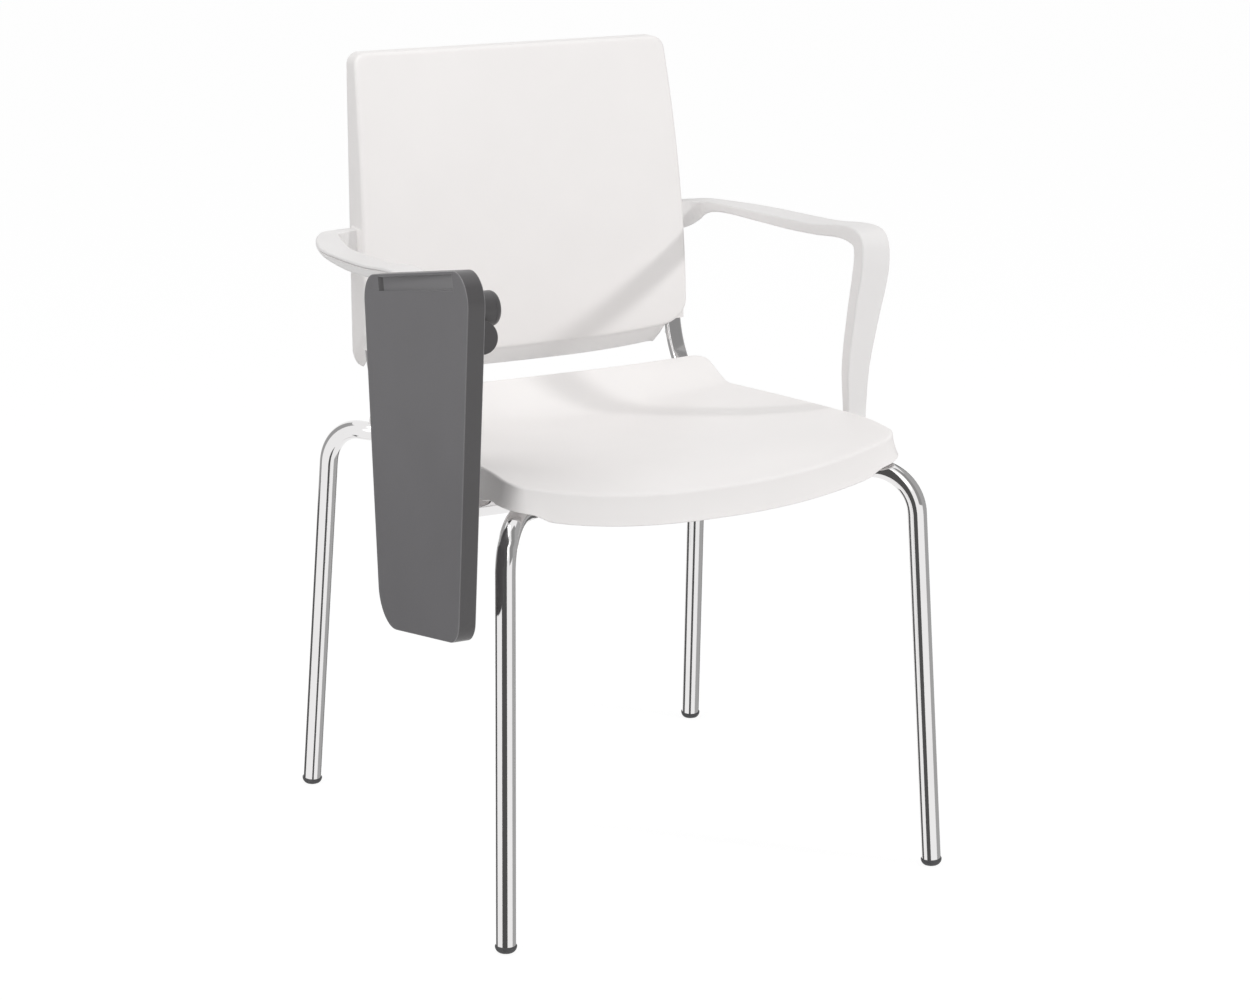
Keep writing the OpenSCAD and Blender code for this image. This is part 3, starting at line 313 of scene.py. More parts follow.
cards = {
    "darkFlag": {"from": (-362, -1202), "to": (-600, -430), "low": -1500, "high": 1500, "shade": 0.09},
    "greyWall": {"from": (1500, -1500), "to": (1900, 900), "low": -1500, "high": 2500, "shade": 0.42},
    "farLeft": {"from": (-700, 2600), "to": (-2300, 1500), "low": -2500, "high": -200, "shade": 0.10},
    "farLeftHigh": {"from": (-700, 2600), "to": (-2300, 1500), "low": -200, "high": 2500, "shade": 0.38},
    "frontGrey": {"from": (500, -2400), "to": (2600, -1700), "low": 500, "high": 7000, "shade": 0.30},
    "farRight": {"from": (2700, 2400), "to": (3000, 700), "low": -2500, "high": 2500, "shade": 0.12}}


def makeCamera():
    # a camera turned by yaw about the upright and tipped downwards by pitch
    data = bpy.data.cameras.new("photoCamera")
    data.sensor_width = cameraPlace["sensor"]
    data.lens = cameraPlace["lens"]
    camera = addObject("photoCamera", data)
    camera.location = toFrame(cameraPlace["spot"])
    camera.rotation_euler = (math.radians(90 - cameraPlace["pitch"]), 0, math.radians(-cameraPlace["yaw"]))
    bpy.context.scene.camera = camera


def mathNode(nodes, operation):
    # one arithmetic node of the given kind
    node = nodes.new("ShaderNodeMath")
    node.operation = operation
    return node


def seenDirectly(nodes, links):
    # 1 for rays from the camera, in mirrors and through glass, 0 for light on the object
    path = nodes.new("ShaderNodeLightPath")
    first, second = mathNode(nodes, "MAXIMUM"), mathNode(nodes, "MAXIMUM")
    links.new(path.outputs["Is Camera Ray"], first.inputs[0])
    links.new(path.outputs["Is Glossy Ray"], first.inputs[1])
    links.new(first.outputs[0], second.inputs[0])
    links.new(path.outputs["Is Transmission Ray"], second.inputs[1])
    return second.outputs[0]


def blendShaders(nodes, links, share, lit, seen, output):
    # lit where the share is 0, seen where it is 1
    blend = nodes.new("ShaderNodeMixShader")
    links.new(share, blend.inputs["Fac"])
    links.new(lit.outputs[0], blend.inputs[1])
    links.new(seen.outputs[0], blend.inputs[2])
    links.new(blend.outputs[0], nodes[output].inputs["Surface"])


def whiteGlow(nodes, strength, kind="ShaderNodeEmission"):
    # plain white light of one strength
    glow = nodes.new(kind)
    glow.inputs["Color"].default_value = (1, 1, 1, 1)
    glow.inputs["Strength"].default_value = strength
    return glow


def makeWorld():
    # an even white room, seen at full strength and lighting the object at its own
    sky = bpy.data.worlds.new("studioWorld")
    bpy.context.scene.world = sky
    sky.use_nodes = True
    nodes, links = sky.node_tree.nodes, sky.node_tree.links
    light = nodes["Background"]
    light.inputs["Color"].default_value = (*worldLight["colour"], 1)
    light.inputs["Strength"].default_value = worldLight["strength"]
    seen = whiteGlow(nodes, worldLight["seen"], "ShaderNodeBackground")
    blendShaders(nodes, links, seenDirectly(nodes, links), light, seen, "World Output")


def makeFloor():
    # a pale floor that shows white where nothing shades it
    h, z = floorLook["half"], -floorLook["under"]
    mesh = bpy.data.meshes.new("studioFloor")
    mesh.from_pydata([(-h, -h, z), (h, -h, z), (h, h, z), (-h, h, z)], [], [(0, 1, 2, 3)])
    material, nodes, links, shader = newMaterial("floorPaper", floorLook["colour"])
    shader.inputs["Roughness"].default_value = floorLook["roughness"]
    share = mathNode(nodes, "MULTIPLY")
    share.inputs[1].default_value = floorLook["share"]
    links.new(seenDirectly(nodes, links), share.inputs[0])
    white = whiteGlow(nodes, floorLook["white"])
    blendShaders(nodes, links, share.outputs[0], shader, white, "Material Output")
    mesh.materials.append(material)
    floor = addObject("studioFloor", mesh)
    floor.visible_glossy = False


def makeLamp(name, lamp):
    # a round lamp at its spot, turned so that its face looks at the aim
    data = bpy.data.lights.new(name, "AREA")
    data.shape = "DISK"
    data.size = lamp["size"]
    data.energy = lamp["watts"]
    item = addObject(name, data)
    spot, aim = toFrame(lamp["spot"]), toFrame(lamp["aim"])
    away = unit(spot - aim)
    side = unit(np.cross((0, 0, 1), away))
    turn = np.stack([side, np.cross(away, side), away], 1)
    pitch = math.atan2(turn[2, 1], turn[2, 2])
    roll = math.atan2(-turn[2, 0], math.hypot(turn[2, 1], turn[2, 2]))
    yaw = math.atan2(turn[1, 0], turn[0, 0])
    item.location = spot
    item.rotation_euler = (pitch, roll, yaw)
    item.visible_camera = False
    item.visible_glossy = lamp["mirrored"]


def makeCard(name, card):
    # an upright card outside the picture, which only shows in polished surfaces
    near, far, low, high = card["from"], card["to"], card["low"], card["high"]
    corners = [(*near, low), (*far, low), (*far, high), (*near, high)]
    mesh = bpy.data.meshes.new(name)
    mesh.from_pydata(toFrame(corners).tolist(), [], [(0, 1, 2, 3)])
    material = bpy.data.materials.new(name)
    material.use_nodes = True
    nodes, links = material.node_tree.nodes, material.node_tree.links
    glow = whiteGlow(nodes, card["shade"])
    links.new(glow.outputs[0], nodes["Material Output"].inputs["Surface"])
    mesh.materials.append(material)
    item = addObject(name, mesh)
    item.visible_camera = False
    item.visible_diffuse = False
    item.visible_shadow = False
    item.visible_transmission = False


makeCamera()
makeWorld()
makeFloor()
for lampName, lampValues in lamps.items():
    makeLamp(lampName + "Light", lampValues)
for cardName, cardValues in cards.items():
    makeCard(cardName, cardValues)
bpy.context.scene.view_settings.view_transform = "Standard"
print("camera and studio made")


# Leg arches, rails and cross tube

legs = {
    "diameter": 20.0, "wall": 2.0, "bend": 47.0, "planBend": 60.0, "footHeight": 7.0,
    "frontFoot": (247.0, -263.0), "frontLean": (-0.038, 0.061), "frontTop": 425.5, "frontDip": 4.0,
    "frontRun": -179.0, "frontPlan": 46.0,
    "rearFoot": (243.0, 263.0), "rearLean": (-0.038, -0.108), "rearTop": 424.0, "rearDip": 0.0,
    "rearRun": 148.0, "rearPlan": 62.0,
    "seam": (0.31, 0.47, 0.83)}        # direction of each ring's first point, along none of the runs


def onLeg(end, z):
    # the point of a leg's axis at a height: its foot, moved by the lean for each millimetre
    foot, lean = legs[end + "Foot"], legs[end + "Lean"]
    return np.array([foot[0] + lean[0] * z, foot[1] + lean[1] * z, z])


def archCorners(end):
    # foot, leg bend, shoulder bend, then the same mirrored
    top = onLeg(end, legs[end + "Top"])
    run = legs[end + "Run"]
    inner = top[0] - abs(run - top[1]) / math.tan(math.radians(legs[end + "Plan"]))
    half = [onLeg(end, legs["footHeight"]), top, (inner, run, legs[end + "Top"] - legs[end + "Dip"])]
    return np.array(half + [(-p[0], p[1], p[2]) for p in half[::-1]])


def makeArch(end):
    # out along the skin, over the cut end, back along the bore, and over the other end
    line = bentLine(archCorners(end), [0, legs["bend"], legs["planBend"], legs["planBend"], legs["bend"], 0])
    skin = sweep(line, circleProfile(legs["diameter"]), legs["seam"])
    bore = sweep(line, circleProfile(legs["diameter"] - 2 * legs["wall"]), legs["seam"])
    rings = np.concatenate([skin, bore[::-1], skin[:1]])
    faces = ringFaces(len(rings), rings.shape[1], flip=True, closeEnds=False)
    newPiece(end + "LegArch", rings.reshape(-1, 3), faces, chrome,
             "chair", end + "_leg_arch", sharpAngles["tube"])


rails = {
    "x": 182.0, "wide": 18.0, "thick": 9.0, "corner": 2.2, "z": 424.0, "start": -180.0,
    "bendY": 101.0, "bend": 100.0, "lean": 10.5, "top": 600.0}
crossZ = rails["z"] - rails["thick"] / 2 - crossTube["diameter"] / 2 - fitGap


def uprightY(z):
    # the upright's axis leans back from where its straight run would meet the level run
    reach = rails["bend"] * math.tan(math.radians((90 - rails["lean"]) / 2))
    return rails["bendY"] + reach + (z - rails["z"]) * math.tan(math.radians(rails["lean"]))


def makeRail(side, name):
    # a rounded flat bar along a level run, one bend and a leaning upright
    x, level, top = side * rails["x"], rails["z"], rails["top"]
    corners = [(x, rails["start"], level), (x, uprightY(level), level), (x, uprightY(top), top)]
    line = bentLine(corners, [0, rails["bend"], 0], 32)
    section = np.stack(roundedRectangle(rails["thick"] / 2, rails["wide"] / 2, rails["corner"], 5), 1)
    points, faces = joinRings([(sweep(line, section, (1, 0, 0)), True)])
    newPiece(name + "BackRail", points, faces, chrome,
             "chair", name + "_back_rail", sharpAngles["tube"], True)


def makeCrossTube():
    # a circle carried straight across under both rails
    x = np.linspace(-crossTube["half"], crossTube["half"], 5)
    line = np.stack([x, np.full_like(x, -crossTube["ahead"]), np.full_like(x, crossZ)], 1)
    points, faces = joinRings([(sweep(line, circleProfile(crossTube["diameter"]), (0, 0, 1)), True)])
    newPiece("armCrossTube", points, faces, chrome,
             "chair", "arm_cross_tube", sharpAngles["tube"])


makeArch("front")
makeArch("rear")
makeRail(1, "left")
makeRail(-1, "right")
makeCrossTube()
print("tubes made")


# Glide feet

feet = {
    "lip": 1.0, "sole": 1.0, "middle": 0.4, "brim": 0.8, "easeWide": 0.5, "topWide": 2.5, "topGap": 0.1}


def makeFoot(end, side, sideName):
    # a domed cap turned round the leg's axis, flattened on the floor
    foot = onLeg(end, 0.0) * (side, 1, 1)
    ahead = unit(onLeg(end, 1.0) * (side, 1, 1) - foot)
    tall = legs["footHeight"] / ahead[2]
    r, top = legs["diameter"] / 2 + feet["lip"], tall - feet["topGap"]
    a = np.linspace(0, math.pi / 2, 14)
    dome = np.stack([r - tall + tall * np.sin(a), tall - feet["sole"] - tall * np.cos(a)], 1)
    cap = [(r, tall - feet["brim"]), (r - feet["easeWide"], top), (r - feet["topWide"], top)]
    profile = np.concatenate([[(feet["middle"], -feet["sole"])], dome, cap])
    rings = lathe(profile, 40, foot, ahead, (0, 1, 0))
    rings[..., 2] = np.maximum(rings[..., 2], 0.0)
    points, faces = joinRings([(rings, True)])
    newPiece("foot" + end.capitalize() + sideName.capitalize(), points, faces, footPlastic,
             "chair", "foot_" + end + "_" + sideName, sharpAngles["foot"])


for footEnd in ("front", "rear"):
    makeFoot(footEnd, 1, "left")
    makeFoot(footEnd, -1, "right")
print("feet made")


# Seat shell

seat = {
    "half": 220.5, "taper": 19.0, "front": 222.0, "bow": 10.0, "rear": 166.0,
    "centreZ": 440.0, "centreFall": 0.030, "sideZ": 465.0, "sideFall": 0.066,
    "dish": 2.5, "dishMost": 1.05, "roll": 10.0, "kick": 35.5, "kickSide": 26.0, "wall": 4.5,
    "wideY": -170.1, "rollY": -139.9, "kickY": 87.0, "lipY": 105.0, "centreY": -119.9, "sideY": -158.1,
    "rim": 30.5, "flare": 6.0, "flareCurve": 1.6, "rimWall": 3.5, "round": 3.2, "ease": 0.9, "rearLip": 2.5,
    "frontCorner": (0.08, 0.09), "rearCorner": (0.09, 0.09),
    # where the rim's lower edge rises: the lifts are in mm, the rest are shares of the seat's plan
    "rearFrom": 0.91, "rimLift": 24.0, "liftFrom": 0.63, "liftSpan": 0.25,
    "cornerLift": 5.0, "cornerX": 0.8, "cornerY": 0.76, "cornerSpan": 0.1,
    "bossY": (-60.0, 90.0), "bossMiddle": 3.0, "bossEnd": 7.0, "bossRoot": 7.4}


def unitOutline(low, high, nLow, nSide, nHigh, nArc):
    # a rounded square of half side 1, anticlockwise from the lower right corner
    t = np.linspace(0, math.pi / 2, nArc + 1)
    a = np.stack([1 - low[0] + low[0] * np.sin(t), low[1] - 1 - low[1] * np.cos(t)], 1)
    b = np.stack([1 - high[0] + high[0] * np.cos(t), 1 - high[1] + high[1] * np.sin(t)], 1)
    c, d = b[::-1] * (-1, 1), a[::-1] * (-1, 1)

    def between(p, q, n):
        # n - 1 points spread evenly from one corner to the next, without both
        s = np.arange(1, n)[:, None] / n
        return p + (q - p) * s
    return np.concatenate([a, between(a[-1], b[0], nSide), b, between(b[-1], c[0], nHigh),
                           c, between(c[-1], d[0], nSide), d, between(d[-1], a[0], nLow)])


def outward(outline):
    # outward direction of a closed flat outline at each point
    step = np.roll(outline, -1, 0) - np.roll(outline, 1, 0)
    return unit(np.stack([step[:, 1], -step[:, 0]], 1))


def seatHalf(y):
    # widest near the front, narrower with the square of the distance behind that
    return seat["half"] - seat["taper"] * ((y - seat["wideY"]) / (seat["rear"] - seat["wideY"])) ** 2


def seatPlan(p):
    # the unit square stretched to the seat's depth and width, its front edge bowed forwards
    middle, half = (seat["rear"] - seat["front"]) / 2, (seat["rear"] + seat["front"]) / 2
    y = middle + half * p[:, 1] - seat["bow"] * (1 - p[:, 0] ** 2) * np.maximum(0, -p[:, 1]) ** 2
    return np.stack([p[:, 0] * seatHalf(y), y], 1)


def seatHeight(q, kick=1.0):
    # dished across, falling to the rear, rolled at the front, raised at the rear edge
    x, y = q[:, 0], q[:, 1]
    u = np.minimum(seat["dishMost"], np.abs(x) / seatHalf(y)) ** seat["dish"]
    rollLong = seat["front"] + seat["bow"] + seat["rollY"]
    roll = (np.maximum(0, seat["rollY"] - y) / rollLong) ** 2 * seat["roll"]
    lift = seat["kick"] * (np.maximum(0, y - seat["kickY"]) / (seat["rear"] - seat["kickY"])) ** 2
    lip = seat["kickSide"] * smoothStep((y - seat["lipY"]) / (seat["rear"] - seat["lipY"]))
    rise = (lift + (lip - lift) * np.minimum(1, u)) * kick
    centre = seat["centreZ"] - seat["centreFall"] * (y - seat["centreY"])
    edge = seat["sideZ"] - seat["sideFall"] * (y - seat["sideY"])
    return centre + (edge - centre) * u - roll + rise


def withHeight(q, dz):
    # plan points raised to the dish, then by dz
    return np.column_stack([q, seatHeight(q) + dz])


def rimFoot(outline, edge, atRear):
    # the rim's lower edge: its depth below the dish, less at the front corners and towards
    # the rear, where it joins the thin rear lip
    across, ahead = np.abs(outline[:, 0]), -outline[:, 1]
    atCorner = smoothStep((across - seat["cornerX"]) / seat["cornerSpan"])
    atCorner = atCorner * smoothStep((ahead - seat["cornerY"]) / seat["cornerSpan"])
    atLift = smoothStep((edge[:, 1] - seat["liftFrom"] * seat["rear"]) / (seat["liftSpan"] * seat["rear"]))
    low = seatHeight(edge, 0.0) - seat["rim"] + seat["cornerLift"] * atCorner + seat["rimLift"] * atLift
    return low + (seatHeight(edge) - seat["wall"] - seat["rearLip"] - low) * atRear


def seatBoss(x, y):
    # a post from the rail up into the shell's underside
    low = rails["z"] + rails["thick"] / 2 + fitGap
    top = seatHeight(np.array([[x, y]]))[0] - seat["wall"] / 2
    profile = [(seat["bossMiddle"], low), (seat["bossEnd"], low), (seat["bossRoot"], top)]
    return lathe(profile, 32, (x, y, 0), (0, 0, 1), (1, 0, 0))


def makeSeat():
    # rings from the middle of the dish, over its rounded edge, down and round the rim,
    # and back under the dish
    outline = unitOutline(seat["frontCorner"], seat["rearCorner"], 56, 52, 50, 16)
    edge = seatPlan(outline)
    out = outward(edge)
    wall, rimWall, ease = seat["wall"], seat["rimWall"], seat["ease"]
    atRear = smoothStep((outline[:, 1] - seat["rearFrom"]) / (1 - seat["rearFrom"]))
    low = rimFoot(outline, edge, atRear)
    flare = (seat["flare"] * (1 - atRear))[:, None]
    steps = np.concatenate([np.linspace(0.02, 0.9, 34), [0.925, 0.95]])
    rings = [withHeight(seatPlan(outline * s), 0) for s in steps]
    for a in np.radians(np.linspace(0, 90, 9)):
        inset = seat["round"] * (1 - math.sin(a))
        rings.append(withHeight(edge - out * inset, -seat["round"] * (1 - math.cos(a))))
    shoulder = rings[-1][:, 2]
    for t in np.linspace(0.12, 1, 9):
        # the rim hangs down and flares outwards towards its lower edge
        reach = out * flare * t ** seat["flareCurve"]
        rings.append(np.column_stack([edge + reach, shoulder + (low - shoulder) * t]))
    rings[-1][:, 2] += ease
    for inset, rise in ((ease, 0), (rimWall - ease, 0), (rimWall, ease)):
        rings.append(np.column_stack([edge + out * (flare - inset), low + rise]))
    inner = withHeight(edge - out * wall, -wall)
    rings += [(rings[-1] + inner) / 2, inner]
    rings += [withHeight(seatPlan(outline * s), -wall) for s in steps[::-1]]
    bosses = [(seatBoss(side * rails["x"], y), True) for side in bothSides for y in seat["bossY"]]
    points, faces = joinRings([(np.array(rings), False)] + bosses)
    newPiece("seatShell", points, faces, whitePlastic,
             "chair", "seat_shell", sharpAngles["shell"])


makeSeat()
print("seat made")


# Back shell

back = {
    "half": 196.0, "taper": 11.0, "taperEven": 0.3, "low": 494.0, "top": 820.0, "bow": 11.0,
    "front": 189.0, "recline": 39.0, "reclineZ": 530.0, "reclineTop": 815.0, "reclineCurve": 1.85,
    "rear": 227.0, "rearGain": 24.0, "wall": 3.5, "rimWall": 3.0, "round": 4.0, "ease": 0.03, "easeIn": 0.25,
    "fillet": 1.5, "filletWide": 3.5, "lowCorner": (0.14, 0.16), "topCorner": (0.07, 0.08),
    # the lower wall hangs down, from these shares of the half height and half width
    "drop": 22.0, "dropFrom": 0.74, "dropSpan": 0.16, "dropMore": 0.4, "moreFrom": 0.8, "moreSpan": 0.15,
    "dropY": 214.0, "shallowFrom": 0.93,
    "tipX": 184.0, "tipZ": 482.0, "tipTall": 25.0, "tipFrom": 0.84,
    "slotIn": 167.5, "slotOut": 186.0, "slotSoft": 2.0, "slotLip": 1.5,
    "sleeveIn": 170.5, "sleeveSide": 1.0, "sleeveSink": 2.0, "sleeveLow": 507.0, "sleeveTop": 603.0,
    "sleeveWall": 3.0, "sleeveRound": 2.5,
    "padOut": 1.5, "padWide": 7.0, "padDeep": 26.0, "padTall": 34.0, "padRound": 3.0}


def backShare(z):
    # 0 at the lower edge to 1 at the top, part even and part with the square
    q = (z - back["low"]) / (back["top"] - back["low"])
    return back["taperEven"] * q + (1 - back["taperEven"]) * q * q


def backHalf(z):
    # half the width, less the taper's share at that height
    return back["half"] - back["taper"] * backShare(z)


def backFace(z):
    # upright at the lumbar height, then reclining ever more towards the top
    share = np.maximum(0, z - back["reclineZ"]) / (back["reclineTop"] - back["reclineZ"])
    return back["front"] + back["recline"] * share ** back["reclineCurve"]


def backPlan(p):
    # the unit square stretched to the back's height and width, its lower corners drawn up
    middle, half = (back["top"] + back["low"]) / 2, (back["top"] - back["low"]) / 2
    z = middle + half * p[:, 1] + back["bow"] * np.abs(p[:, 0]) ** 3 * np.maximum(0, -p[:, 1]) ** 2
    return np.stack([p[:, 0] * backHalf(z), z], 1)


def onFace(q, dy):
    # front view points set back to the face, then by dy
    return np.column_stack([q[:, 0], backFace(q[:, 1]) + dy, q[:, 1]])


def roundedBlock(low, high, r, axis):
    # a box with rounded edges along one axis and ends eased by six tenths of that radius,
    # as (rings along the axis, flip)
    low, high = np.array(low, float), np.array(high, float)
    first, second = [k for k in range(3) if k != axis]
    middle, ease, count = (low + high) / 2, r * 0.6, 6
    rings = np.zeros((4, 4 * count, 3))
    stops = ((ease, low[axis]), (0, low[axis] + ease), (0, high[axis] - ease), (ease, high[axis]))
    for ring, (inset, along) in zip(rings, stops):
        half = (high - low) / 2 - inset
        u, v = roundedRectangle(half[first], half[second], r, count)
        ring[:, first], ring[:, second], ring[:, axis] = middle[first] + u, middle[second] + v, along
    return rings, axis != 1      # rings about Y run the other way round


def sleeveRings(side):
    # a block behind the face that follows the leaning upright, as level rounded rectangles
    z = np.linspace(back["sleeveLow"], back["sleeveTop"], 12)[:, None]
    reach = rails["thick"] / 2 / math.cos(math.radians(rails["lean"])) + back["sleeveWall"]
    lowX, highX = back["sleeveIn"], backHalf(back["sleeveTop"]) - back["sleeveSide"]
    lowY, highY = backFace(z) + back["sleeveSink"], uprightY(z) + reach
    u, v = roundedRectangle((highX - lowX) / 2, (highY - lowY) / 2, back["sleeveRound"], 6)
    x, y = side * ((lowX + highX) / 2 + u), (lowY + highY) / 2 + v
    rings = np.stack(np.broadcast_arrays(x, y, z), -1)
    return rings if side > 0 else rings[:, ::-1]


def wallEnd(outline, edge):
    # where the wall behind the face ends: deep at the top, dropped and shallow at the lower edge
    across, down = np.abs(outline[:, 0]), -outline[:, 1]
    x, z = np.abs(edge[:, 0]), edge[:, 1]
    more = 1 + back["dropMore"] * smoothStep((across - back["moreFrom"]) / back["moreSpan"])
    drop = back["drop"] * smoothStep((down - back["dropFrom"]) / back["dropSpan"]) * more
    shallow = smoothStep((down - back["shallowFrom"]) / (1 - back["shallowFrom"]))
    rimY = back["rear"] + back["rearGain"] * backShare(z)
    rimY = rimY + (back["dropY"] - rimY) * shallow
    # each lower corner of the wall ends in a quarter ellipse
    corner = np.clip((x - back["tipX"]) / (back["half"] - back["tipX"]), 0, 1)
    tip = back["tipZ"] + back["tipTall"] * (1 - np.sqrt(1 - corner ** 2))
    rimZ = np.where((down > back["tipFrom"]) & (x > back["tipX"]), tip, z - drop)
    # the lower wall is cut away around each upright
    soft = back["slotSoft"]
    slot = (drop > 0) * smoothStep((x - back["slotIn"]) / soft) * smoothStep((back["slotOut"] - x) / soft)
    rimY = rimY + (backFace(z) + back["round"] + back["slotLip"] - rimY) * slot
    rimZ = rimZ + (z - rimZ) * slot
    return np.column_stack([edge[:, 0], rimY, rimZ])


def makeBack():
    # rings from the middle of the face, over its rounded edge, back along the wall,
    # and home inside it
    outline = unitOutline(back["lowCorner"], back["topCorner"], 90, 60, 40, 18)
    edge = backPlan(outline)
    out = outward(edge)
    wall, rimWall = back["wall"], back["rimWall"]
    steps = np.concatenate([np.linspace(0.02, 0.92, 36), [0.95]])
    rings = [onFace(backPlan(outline * s), 0) for s in steps]
    for a in np.radians(np.linspace(0, 90, 8)):
        inset = back["round"] * (1 - math.sin(a))
        rings.append(onFace(edge - out * inset, back["round"] * (1 - math.cos(a))))
    start, end = rings[-1], wallEnd(outline, edge)
    rings += [start + (end - start) * t for t in np.linspace(0.15, 1, 7)[:-1]]
    inner = end.copy()
    inner[:, [0, 2]] -= out * rimWall
    ease, easeIn = (start - end) * back["ease"], (inner - end) * back["easeIn"]
    rings += [end + ease, end + easeIn, inner - easeIn, inner + ease]
    rings.append(onFace(edge - out * (rimWall + back["fillet"]), wall + back["fillet"]))
    rings.append(onFace(edge - out * (rimWall + back["filletWide"]), wall))
    rings += [onFace(backPlan(outline * s), wall) for s in steps[:-1][::-1]]
    groups = [(np.array(rings), False)]
    padX = backHalf(arms["rootZ"]) + back["padOut"]
    padY, padZ = back["padDeep"] / 2, back["padTall"] / 2
    for side in bothSides:
        near, far = sorted((side * (padX - back["padWide"]), side * padX))
        groups.append((sleeveRings(side), True))
        groups.append(roundedBlock((near, arms["rootY"] - padY, arms["rootZ"] - padZ),
                                   (far, arms["rootY"] + padY, arms["rootZ"] + padZ), back["padRound"], 0))
    points, faces = joinRings(groups)
    newPiece("backShell", points, faces, whitePlastic,
             "chair", "back_shell", sharpAngles["shell"])


# Arms

arms = {
    "outer": 277.0, "wide": 33.0, "thick": 12.0, "z": 631.5, "rise": 9.0, "front": 108.0, "tilt": -0.04,
    "uprightThick": 19.0, "rootZ": 620.5, "rootY": 215.0, "rootTall": 32.0, "rootThick": 14.0,
    "passWide": 22.0, "passThick": 12.5, "clear": 1.5, "below": 3.0,
    "footWide": 27.0, "footLong": 17.0, "footMiddle": 9.0,
    "footEase": 1.0, "footRound": 2.5, "roundMiddle": 0.7,
    "bore": 4.1, "counterbore": 6.9, "counterDeep": 7.0, "counterEase": 0.5,
    "cuts": 10, "soft": 2.2, "partingWide": 1.6, "partingDeep": 1.5, "partingUnder": 0.3,
    "wedge": 5.0, "wedgeFlank": 0.2, "wedgeSpan": (1.5, 3.5, 5.0, 7.5)}     # span in stations
bracket = {
    "padLow": (243.2, -109.0, 590.0), "padHigh": (269.0, -98.0, 640.0), "padRound": 2.0,
    "plate": 6.0, "screwIn": 6.0}
armFootX = crossTube["half"] + fitGap


def armStations():
    # place, direction of the width, width and thickness, from the back to the cross tube
    padX = backHalf(arms["rootZ"]) + back["padOut"] + fitGap
    footX = armFootX + arms["footMiddle"]
    mid = arms["outer"] - arms["wide"] / 2
    front = -arms["front"]
    frontY = front + arms["uprightThick"] / 2
    w, t, up = arms["wide"], arms["thick"], arms["uprightThick"]
    armZ, topZ = arms["z"], arms["z"] + arms["rise"]
    rootY, rootTall, rootThick = arms["rootY"], arms["rootTall"], arms["rootThick"]

    # beside the seat the arm passes clear of the flared rim, down to just below its lower edge
    passW, passT = arms["passWide"], arms["passThick"]
    passX = seatHalf(front) + seat["flare"] + arms["clear"] + passW / 2
    passZ = seat["sideZ"] - seat["sideFall"] * (front - seat["sideY"]) - seat["rim"] - arms["below"]

    def lean(share):
        # a share of the way across from the foot to the band
        return footX + (mid - footX) * share

    def top(tall):
        # the upper face of the root stays level while its underside rises to the band
        return arms["rootZ"] + (rootTall - tall) / 2

    def reach(share):
        # a share of the way across from the root to the band
        return padX + (mid - padX) * share
    x, y, tip = (1, 0, 0), (0, 1, 0), (1, 0, -arms["tilt"])
    return [
        ((padX, rootY, top(rootTall)), y, rootThick, rootTall),
        ((padX + 11, rootY, top(30)), y, rootThick, 30),
        ((reach(0.32), rootY - 2, top(25)), (0.2, 1, 0), 15, 25),
        ((reach(0.48), rootY - 9, top(17)), (0.5, 0.87, 0), 18, 17),
        ((reach(0.62), rootY - 27, top(11)), (0.9, 0.43, 0), w - 9, 11),
        ((reach(0.77), rootY - 56, top(10)), (1, 0.12, 0), w - 4, 10),
        ((mid - 4.5, 112, armZ - 0.5), tip, w - 1, t - 1),
        ((mid - 2, 52, armZ + 1), tip, w, t),
        ((mid - 1, -6, armZ + 0.45 * arms["rise"]), tip, w, t),
        ((mid, -50, topZ - 0.5), x, w, t + 2),
        ((mid, frontY + 20, topZ - 0.5), x, w, t + 5),
        ((mid, frontY + 5, topZ - 6.5), x, w, up + 1),
        ((mid - 1, frontY, topZ - 24), x, w + 1, up),
        ((mid - 3.8, frontY - 0.5, topZ - 46), x, w + 1, up - 0.5),
        ((lean(0.7) - 0.5, frontY - 1, 555), x, w - 2, up - 2),
        ((lean(0.47), front + 7.5, 505), x, w - 6, 15),
        ((passX + 1.5, front + 6, 460), x, passW + 1, passT),
        ((passX + 0.5, front + 4, passZ + 9), x, passW, passT),
        ((passX, front + 2.5, passZ), x, passW, passT),
        ((footX, -crossTube["ahead"], crossZ + 2), x, arms["footLong"] - 3, 13)]


def smoothStations(stations, cuts):
    # a cubic between neighbouring stations, its slope at each half the step from the one before
    # to the one after, for place, direction, width and thickness at once
    rows = np.array([(*p, *d, w, t) for p, d, w, t in stations], float)
    padded = np.concatenate([rows[:1], rows, rows[-1:]])
    a, b, c, d = (k[:, None] for k in (padded[:-3], padded[1:-2], padded[2:-1], padded[3:]))
    t = (np.arange(cuts) / cuts)[None, :, None]
    second, third = 2 * a - 5 * b + 4 * c - d, 3 * b - a - 3 * c + d
    line = 0.5 * (2 * b + (c - a) * t + second * t ** 2 + third * t ** 3)
    return np.concatenate([line.reshape(-1, rows.shape[1]), rows[-1:]])


